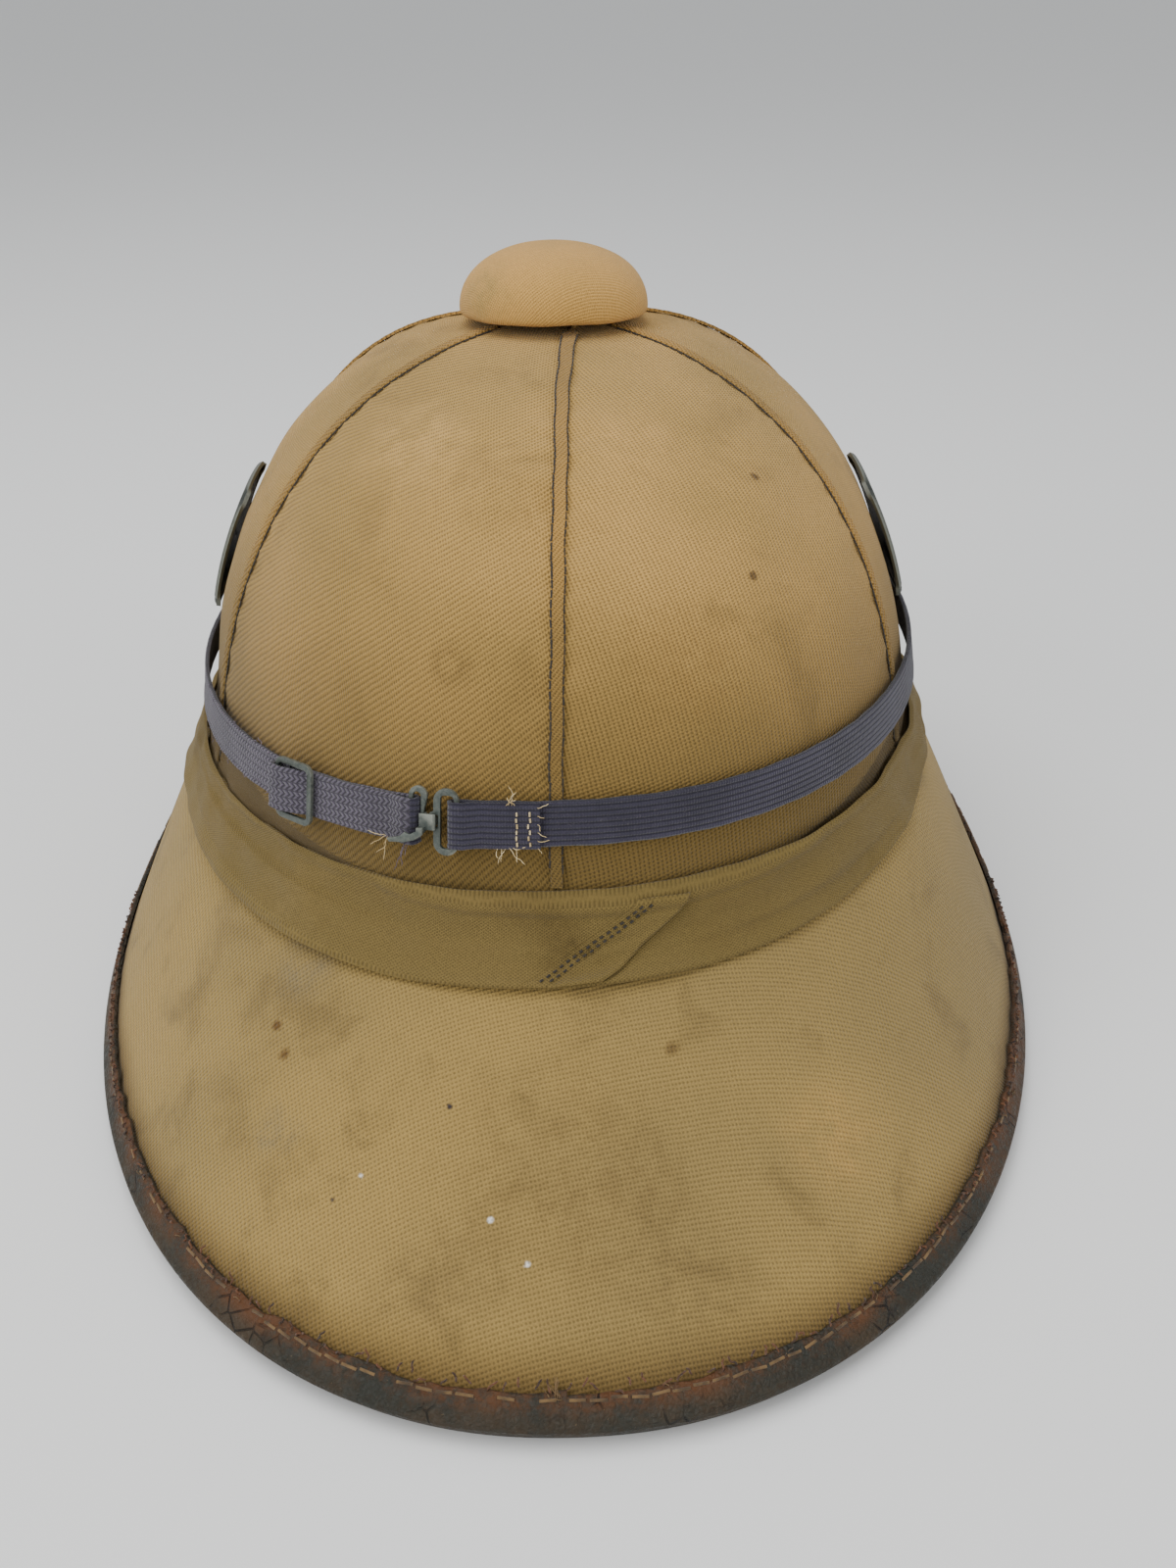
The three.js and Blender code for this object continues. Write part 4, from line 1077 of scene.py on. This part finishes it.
strap = {"height": 84.1, "sideDrop": 2.5, "tilt": 2.3, "width": 9.4, "sideStandoff": 1.2, "turnReach": 1.5,
         "faceColumns": 27, "knitFrom": -16.2, "edgeCord": 0.16, "groove": 0.10,
         "edgeWave": 0.09, "wander": 0.12}
clasp = {"azimuth": -13.6, "barWidth": 1.0, "hookLeft": -5.1, "eyeRight": 5.9}
slider = {"azimuth": -31.6, "width": 11.8, "barWidth": 1.3, "leftBarWidth": 1.0}
skinLevel = 2 * layers["clearance"] + layers["fold"] + layers["webbing"] / 2
turnLevel = layers["webbing"] / 2 + 2.4 * layers["clearance"] + layers["metal"] / 2
barLevel = skinLevel + turnLevel
layLevel = skinLevel + layers["webbing"] + 1.3 * layers["clearance"]
sliderLevel = layLevel + turnLevel


def strapHeight(azimuth):
    turn = np.radians(azimuth)
    return strap["height"] - strap["sideDrop"] * np.sin(turn) ** 2 + strap["tilt"] * np.sin(turn)


def besideCrown(azimuth, rise, level):
    return standOff(azimuth, stationAt(azimuth, strapHeight(azimuth) + rise), level)


def degreeLength(azimuth, level):
    pair = besideCrown(np.array([azimuth + 0.5, azimuth - 0.5]), 0, np.array([level, level]))
    return float(np.linalg.norm(pair[0] - pair[1]))


def shifted(azimuth, distance, level=barLevel):
    return azimuth + distance / degreeLength(azimuth, level)


def halfTurn(azimuth, middle, level, side, fromTop):
    turns = []
    for turn in np.linspace(0, 180, 13):
        angle = math.radians(90 - turn if fromTop else turn - 90)
        turns.append((shifted(azimuth, middle + side * strap["turnReach"] * math.cos(angle), level),
                      level + turnLevel * math.sin(angle)))
    return turns


eyeBar = clasp["eyeRight"] - clasp["barWidth"] / 2
hookBar = clasp["hookLeft"] + clasp["barWidth"] / 2
leftBar = -slider["width"] / 2 + slider["leftBarWidth"] / 2
rightBar = slider["width"] / 2 - slider["barWidth"] / 2


def onClasp(distance, level):
    return shifted(clasp["azimuth"], distance), level


def onSlider(distance, level):
    return shifted(slider["azimuth"], distance, sliderLevel), level


def sideLevel(azimuth):
    # at the sides the strap stands a little off the crown
    return skinLevel + strap["sideStandoff"] * math.sin(math.radians(azimuth)) ** 4


loopStart, loopEnd = (shifted(clasp["azimuth"], distance) for distance in (eyeBar + 3, hookBar - 3))
overClasp, overSlider = (layLevel + barLevel + turnLevel) / 2, (layLevel + sliderLevel + turnLevel) / 2
# the line of the strap as pairs of azimuth and level, from the sewn end by the eye round to the slider
strapRun = (
    [(-2.0, layLevel), onClasp(eyeBar + 9, layLevel), onClasp(eyeBar + 5, layLevel),
     onClasp(eyeBar + 3.2, overClasp), onClasp(eyeBar + 1.4, barLevel + turnLevel)]
    + halfTurn(clasp["azimuth"], eyeBar, barLevel, -1, True)
    + [(a, sideLevel(a)) for a in np.linspace(loopStart, 360 + loopEnd, 260)]
    + halfTurn(clasp["azimuth"], hookBar, barLevel, 1, False)
    + [onClasp(hookBar - 1.4, barLevel + turnLevel), onClasp(hookBar - 3.2, overClasp),
       onClasp(hookBar - 5, layLevel), onClasp(hookBar - 9, layLevel), onClasp(hookBar - 13, layLevel),
       onSlider(rightBar + 2, layLevel), onSlider(rightBar - 1.6, layLevel),
       onSlider(1, overSlider), onSlider(leftBar + 2.2, sliderLevel + turnLevel)]
    + halfTurn(slider["azimuth"], leftBar, sliderLevel, -1, True)
    + [onSlider(leftBar + 2.6, sliderLevel - turnLevel)]
)


def strapPlace(u, v):
    run = np.array(strapRun)
    count, face = len(run), strap["faceColumns"]
    column = np.rint(u * (count - 1)).astype(int)
    perDegree = np.array([degreeLength(azimuth, level) for azimuth, level in run])
    before = run[np.maximum(np.arange(count) - 1, 0)]
    after = run[np.minimum(np.arange(count) + 1, count - 1)]
    ahead = fromRear(after[:, 0] - before[:, 0]) * perDegree
    direction = unit(np.stack([ahead, after[:, 1] - before[:, 1]], -1))
    steps = np.abs(fromRear(run[1:, 0] - run[:-1, 0]) * perDegree[1:])
    length = np.concatenate([[0], np.cumsum(np.hypot(steps, np.diff(run[:, 1])))])[column]
    # the cross-section, once round: flat faces with a thick corded edge
    across = np.linspace(-0.97, 0.97, face)
    rises = np.concatenate([across, [1.0, 1.0], -across, [-1.0, -1.0, -0.97]])
    sides = np.concatenate([np.full(face, 1.0), [0.55, -0.55], np.full(face, -1.0), [-0.55, 0.55, 1.0]])
    edge = np.abs(rises)
    cord = 1 + strap["edgeCord"] * (edge > 0.86) - strap["groove"] * ((edge > 0.74) & (edge < 0.86))
    place = np.rint(v * (len(rises) - 1)).astype(int)
    side = sides[place] * layers["webbing"] / 2 * cord[place]
    flatRise = rises[place] * strap["width"] / 2
    edgeWave = strap["edgeWave"] * np.sin(length * 1.9) * (edge[place] > 0.9)
    azimuth = run[column, 0] - side * direction[column, 1] / perDegree[column]
    level = run[column, 1] + side * direction[column, 0]
    points = besideCrown(azimuth, flatRise + edgeWave + strap["wander"] * np.sin(length / 17.0), level)
    return points, np.stack([length, flatRise + np.where(sides[place] > 0, 0.0, 40.0)], -1)


webbingForm = {"fuzz": (1900.0, 4.0, 0.7), "broad": (60.0, 4.0), "broadSteps": (0.35, 0.65),
               "slant": 1.5, "rowSteps": (0.05, 0.42), "grooveSteps": (0.0, 0.14),
               "ribSteps": (0.04, 0.34), "pickSteps": (0.0, 0.4, 0.55, 1.0),
               "deepSteps": (0.0, 0.8, 0.75, 0.0), "fuzzSteps": (0.58, 0.75, 0.0, 0.45), "fuzzInRelief": 0.4,
               "rough": 0.9, "specular": 0.2, "sheen": 0.25}


def webbingMaterial(name, look, knit):
    f = webbingForm
    material, tree, shader = newMaterial(name)
    place = objectPlace(tree)
    along, across, _ = splitPlace(tree, clothPlace(tree))
    along, across = times(tree, along, 1 / look["rowPitch"]), times(tree, across, 1 / look["pitch"])
    fuzz, broad = noiseAt(tree, place, *f["fuzz"]), noiseAt(tree, place, *f["broad"])
    fold = calc(tree, "PINGPONG", across, 0.5)
    if knit:
        # columns of V stitches: the slant changes side with each half column
        row = calc(tree, "PINGPONG", plus(tree, along, times(tree, fold, f["slant"])), 0.5)
        weave = times(tree, stepped(tree, row, *f["rowSteps"]), stepped(tree, fold, *f["grooveSteps"]))
    else:
        pick = calc(tree, "PINGPONG", along, 0.5)
        weave = times(tree, stepped(tree, fold, *f["ribSteps"]), stepped(tree, pick, *f["pickSteps"]))
    colour = mixed(tree, stepped(tree, broad, *f["broadSteps"]), look["colour"], look["second"])
    # painted shade: the grooves of the weave take the darker deep colour
    colour = mixed(tree, stepped(tree, weave, *f["deepSteps"]), colour, look["deep"])
    colour = mixed(tree, stepped(tree, fuzz, *f["fuzzSteps"]), colour, look["fuzz"])
    height = plus(tree, weave, times(tree, fuzz, f["fuzzInRelief"]))
    finishMaterial(tree, shader, colour, height, look["relief"], 1.0, {
        "Roughness": f["rough"], "Specular IOR Level": f["specular"], "Sheen Weight": f["sheen"]})
    return material


knitWebbing = webbingMaterial("knitWebbing", {
    "pitch": 1.75, "rowPitch": 1.25, "relief": 0.35,
    "colour": (0.114, 0.098, 0.131), "second": (0.081, 0.070, 0.094),
    "deep": (0.020, 0.017, 0.024), "fuzz": (0.223, 0.191, 0.218)}, True)
ribbedWebbing = webbingMaterial("ribbedWebbing", {
    "pitch": 1.17, "rowPitch": 0.62, "relief": 0.32,
    "colour": (0.049, 0.044, 0.071), "second": (0.033, 0.030, 0.048),
    "deep": (0.011, 0.010, 0.016), "fuzz": (0.174, 0.147, 0.164)}, False)
strapPiece = gridPiece("gogglesStrap", len(strapRun) - 1, 2 * strap["faceColumns"] + 4, strapPlace)
weld(strapPiece, 0.00001)
facesOut(strapPiece)
finishPiece(strapPiece, [ribbedWebbing, knitWebbing], ["goggle_strap"], angle=60)
for face in strapPiece.data.polygons:
    behind = math.degrees(math.atan2(face.center.x, 0.018 - face.center.y))
    face.material_index = 1 if -180 < behind < strap["knitFrom"] else 0
print("strap")

# Metal pieces


def hardPiece(name, nodeName, width):
    # the frame's own solid, welded and with its sharp edges rounded
    bpy.ops.object.select_all(action="DESELECT")
    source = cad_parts[nodeName]
    piece = bpy.data.objects.new(name, source.data.copy())
    bpy.context.collection.objects.link(piece)
    piece.matrix_world = source.matrix_world
    weld(piece, 0.00001)
    applyModifier(piece, "BEVEL", width=width * mm, segments=2, limit_method="ANGLE",
                  angle_limit=math.radians(35), use_clamp_overlap=True)
    return piece


metalForm = {"broad": (130.0, 5.0, 0.65), "fine": (1400.0, 4.0, 0.7), "fineInWear": 0.12, "fineInRelief": 0.5,
             "broadSteps": (0.35, 0.65), "pitSteps": (0.62, 0.72, 0.0, 0.6), "roughSteps": (0.3, 0.7),
             "relief": 0.12, "strength": 0.7}


def metalMaterial(name, look):
    f = metalForm
    material, tree, shader = newMaterial(name)
    place = objectPlace(tree)
    broad, fine = noiseAt(tree, place, *f["broad"]), noiseAt(tree, place, *f["fine"])
    rim = node(tree, "ShaderNodeNewGeometry").outputs["Pointiness"]
    worn = stepped(tree, plus(tree, rim, times(tree, fine, f["fineInWear"])), *look["wearSteps"])
    colour = mixed(tree, stepped(tree, broad, *f["broadSteps"]), look["colour"], look["second"])
    colour = mixed(tree, stepped(tree, fine, *f["pitSteps"]), colour, look["pit"])
    colour = mixed(tree, worn, colour, look["bare"])
    height = plus(tree, broad, times(tree, fine, f["fineInRelief"]))
    finishMaterial(tree, shader, colour, height, f["relief"], f["strength"], {
        "Roughness": stepped(tree, fine, *f["roughSteps"], *look["rough"]), "Metallic": look["metallic"]})
    return material


claspMetal = metalMaterial("greyGreenMetal", {
    "colour": (0.067, 0.082, 0.073), "second": (0.044, 0.054, 0.047), "pit": (0.028, 0.033, 0.027),
    "bare": (0.197, 0.206, 0.174), "rough": (0.33, 0.57), "metallic": 0.35, "wearSteps": (0.56, 0.66)})
plateMetal = metalMaterial("fieldGreyPaint", {
    "colour": (0.043, 0.047, 0.040), "second": (0.027, 0.032, 0.027), "pit": (0.016, 0.016, 0.014),
    "bare": (0.169, 0.176, 0.147), "rough": (0.38, 0.62), "metallic": 0.25, "wearSteps": (0.56, 0.68)})
for name, nodeName, width in (("eyeMetal", "clasp_eye", 0.22), ("hookMetal", "clasp_hook", 0.16),
                              ("sliderMetal", "strap_slider", 0.3), ("ventCollar", "vent_collar", 0.2)):
    finishPiece(hardPiece(name, nodeName, width), [claspMetal], [nodeName], angle=50)

plate = {"azimuth": 90, "bottom": 91.5, "top": 123.0, "width": 30.0, "wall": 1.0, "columns": 60, "rows": 70,
         "sheet": 1.9, "rimDepth": 2.3, "rimWidth": 3.06, "rimSlope": 1.1, "roundness": 5,
         "edgeDrop": 0.75, "edgeWidth": 0.8}


def platePlace(side):
    def place(u, v):
        p = plate
        rise, run = 2 * v - 1, 2 * u - 1
        reach = (np.abs(run) ** 8 + np.abs(rise) ** 8) ** 0.125
        inward = limited(1 - reach) * p["width"] / 2
        # a square grid drawn in evenly towards rounded corners
        most = np.maximum(np.maximum(np.abs(rise), np.abs(run)), tiny)
        power = p["roundness"]
        fit = (np.abs(rise / most) ** power + np.abs(run / most) ** power) ** (-1 / power)
        rise, run = rise * fit, run * fit
        height = (p["bottom"] + p["top"]) / 2 + rise * (p["top"] - p["bottom"]) / 2
        station = stationAt(side * p["azimuth"], height)
        centre = canvasFace(side * p["azimuth"], station)
        distance = np.hypot(centre[:, 0], centre[:, 1])
        azimuth = side * p["azimuth"] + np.degrees(run * p["width"] / 2 / distance)
        rimShare = limited((p["rimWidth"] - inward) / p["rimSlope"])
        depth = between(p["sheet"], p["rimDepth"], rimShare * rimShare * (3 - 2 * rimShare))
        depth = depth - p["edgeDrop"] * limited(1 - inward / p["edgeWidth"]) ** 2
        return standOff(azimuth, station, layers["clearance"] + depth), np.stack([run * 15, rise * 18], -1)
    return place


for side, nodeName in ((1, "side_plate_right"), (-1, "side_plate_left")):
    piece = gridPiece(nodeName.replace("_", "") + "Metal", plate["columns"], plate["rows"], platePlace(side))
    wallOf(piece, plate["wall"])
    finishPiece(piece, [plateMetal], [nodeName], angle=50)
print("metal pieces")

# Cork body, seen from below

cork = {"grainScale": 420.0, "dark": (0.307, 0.166, 0.053), "light": (0.515, 0.255, 0.063),
        "gap": (0.070, 0.033, 0.012), "stain": (0.183, 0.098, 0.032), "columns": 240, "rows": 120}


def corkMaterial():
    material, tree, shader = newMaterial("corkBody")
    place = objectPlace(tree)
    grains = node(tree, "ShaderNodeTexVoronoi", {"Vector": place, "Scale": cork["grainScale"]})
    tone = node(tree, "ShaderNodeSeparateColor", {0: grains.outputs["Color"]}).outputs[0]
    gaps = edgesAt(tree, place, cork["grainScale"])
    colour = mixed(tree, tone, cork["dark"], cork["light"])
    colour = mixed(tree, stepped(tree, gaps, 0.0, 0.12, 0.7, 0.0), colour, cork["gap"])
    stain = stepped(tree, noiseAt(tree, place, 30.0, 4.0), 0.45, 0.7, 0.0, 0.4)
    colour = mixed(tree, stain, colour, cork["stain"])
    finishMaterial(tree, shader, colour, gaps, 0.5, 0.6, {"Roughness": 0.92})
    return material


def corkPlace(u, v):
    # down the outer face to the rim, and back up the inner one
    azimuth = 360 * u
    inner = v > 0.5
    station = limited(np.where(inner, 2 - 2 * v, 2 * v)) * lastStation
    depth = between(layers["cork"], layers["corkRim"], limited(station - 2))
    face = -(layers["canvas"] + layers["clearance"])
    level = np.where(inner & (v <= 1 - tiny), face - depth, face)
    return standOff(azimuth, station, level), np.stack([np.radians(azimuth) * 100, station * 60], -1)


corkPiece = gridPiece("corkBodyShell", cork["columns"], cork["rows"], corkPlace, closed=True)
facesOut(corkPiece)
finishPiece(corkPiece, [corkMaterial()], ["cork_shell"])
print("cork body")

# Loose threads and stitch rows of the strap

strapSeam = {"azimuths": (-4.55, -3.15), "reach": 4.2, "seat": 0.05,
             "pitch": 1.3, "stitch": 0.75, "thread": 0.3}
strapRows = []
for k, azimuth in enumerate(strapSeam["azimuths"]):
    rises = np.linspace(-strapSeam["reach"], strapSeam["reach"], 30)
    path = besideCrown(azimuth, rises, np.full(30, layLevel + layers["webbing"] / 2 + strapSeam["seat"]))
    normal = faceNormal(azimuth, stationAt(azimuth, strapHeight(azimuth) + rises))
    strapRows.append(stitchRow(path, normal, strapSeam["pitch"], strapSeam["stitch"], strapSeam["thread"],
                               90 + k, sink=0.08, wander=0.25))
finishPiece(joinPieces("strapStitches", strapRows), [paleThread], ())

frays = {"steps": 9, "curl": 0.42, "degree": 1.62, "bob": 0.2, "thickness": 0.17,
         "topLevel": layLevel + layers["webbing"] / 2 + 0.5, "metalLevel": barLevel + turnLevel + 0.9}


def looseThread(azimuth, rise, level, heading, length, seed):
    rng = random.Random(seed)
    azimuths, rises, levels = [azimuth], [rise], [level]
    angle = math.radians(heading)
    step = length / frays["steps"]
    for i in range(frays["steps"]):
        angle += rng.uniform(-frays["curl"], frays["curl"])
        azimuths.append(azimuths[-1] + step * math.cos(angle) / frays["degree"])
        rises.append(rises[-1] + step * math.sin(angle))
        levels.append(level + frays["bob"] * math.sin(i * 0.9 + seed))
    return besideCrown(np.array(azimuths), np.array(rises), np.array(levels))


# tufts of cut ends: under the hook, above and below the sewn fold, and along its cut edge
top = frays["topLevel"]
cream = [looseThread(-18.4 + 0.16 * i, -3.0 - 0.12 * i, frays["metalLevel"], 200 + 17 * i, 3.5 + 0.6 * i,
                     300 + i) for i in range(4)]
cream += [looseThread(-5.6 + 0.32 * i, 4.3, top - 0.4, 60 + 25 * i, 2.2 + (i % 3), 340 + i)
          for i in range(4)]
cream += [looseThread(-6.5 + 0.4 * i, -4.3, top - 0.5, -120 + 22 * (i % 5), 2.4 + (i % 4) * 0.7, 380 + i)
          for i in range(6)]
cream += [looseThread(-2.3, -4.4 + 0.55 * i, top - 0.35, -25 + 20 * (i % 3), 1.3 + 0.3 * (i % 4), 420 + i)
          for i in range(0, 16, 3)]
finishPiece(threads("creamFrays", cream, frays["thickness"]), [paleThread], ())
violetThread = threadMaterial("violetThread", (0.087, 0.062, 0.092), (0.160, 0.126, 0.158))
violet = [looseThread(-16.2 - 0.3 * i, -4.2, skinLevel + 0.7, 215 + 25 * i, 4.5 + 1.2 * i, 500 + i)
          for i in range(4)]
violet += [looseThread(a, rise, sideLevel(a) + 0.5, 10 + 47 * (a % 7), 1.3 + 0.5 * ((a * 7) % 3), 540 - a)
           for a in range(-62, -36, 2) for rise in (4.55, -4.5)]
finishPiece(threads("violetFrays", violet, frays["thickness"]), [violetThread], ())

rimFrays = {"steps": 8, "curl": 0.5, "degree": 3.0, "stationLength": 70.0, "inLength": 82.0,
            "seat": 1.65, "bob": 0.35}


def brimFray(azimuth, distance, heading, length, seed):
    f = rimFrays
    rng = random.Random(seed)
    station = lastStation - distance / f["inLength"]
    angle = math.radians(heading)
    step = length / f["steps"]
    places = []
    for i in range(f["steps"]):
        places.append((azimuth, min(station, 2.999), f["seat"] + f["bob"] * math.sin(i * 1.1 + seed)))
        angle += rng.uniform(-f["curl"], f["curl"])
        azimuth += step * math.cos(angle) / f["degree"]
        station -= step * math.sin(angle) / f["stationLength"]
    return standOff(*np.array(places).T)


tufts = [brimFray(-0.9 + 0.12 * i, 4.4, 70 + 13 * i, 3.2 + 0.4 * (i % 3), 600 + i) for i in range(8)]
tufts += [brimFray(44.0 + 0.25 * i, 3.8, 100 + 20 * i, 3.0, 640 + i) for i in range(6)]
tufts += [brimFray(a, 4.6, 40 + (a * 31) % 100, 2.2, 700 + a) for a in range(-64, 66, 7)]
finishPiece(threads("edgeFrays", tufts, 0.2), [tanThread], ())
tearBrown = threadMaterial("tornLeather", (0.123, 0.043, 0.012), (0.029, 0.014, 0.006))
tears = [brimFray(a * 0.9, 5.9 + 0.5 * math.sin(a * 1.7), 20 + (a * 47) % 140, 1.6 + 0.35 * (a % 4), 900 + a)
         for a in range(-92, 93)]
finishPiece(threads("tornEdge", tears, 0.42), [tearBrown], ())
print("threads")
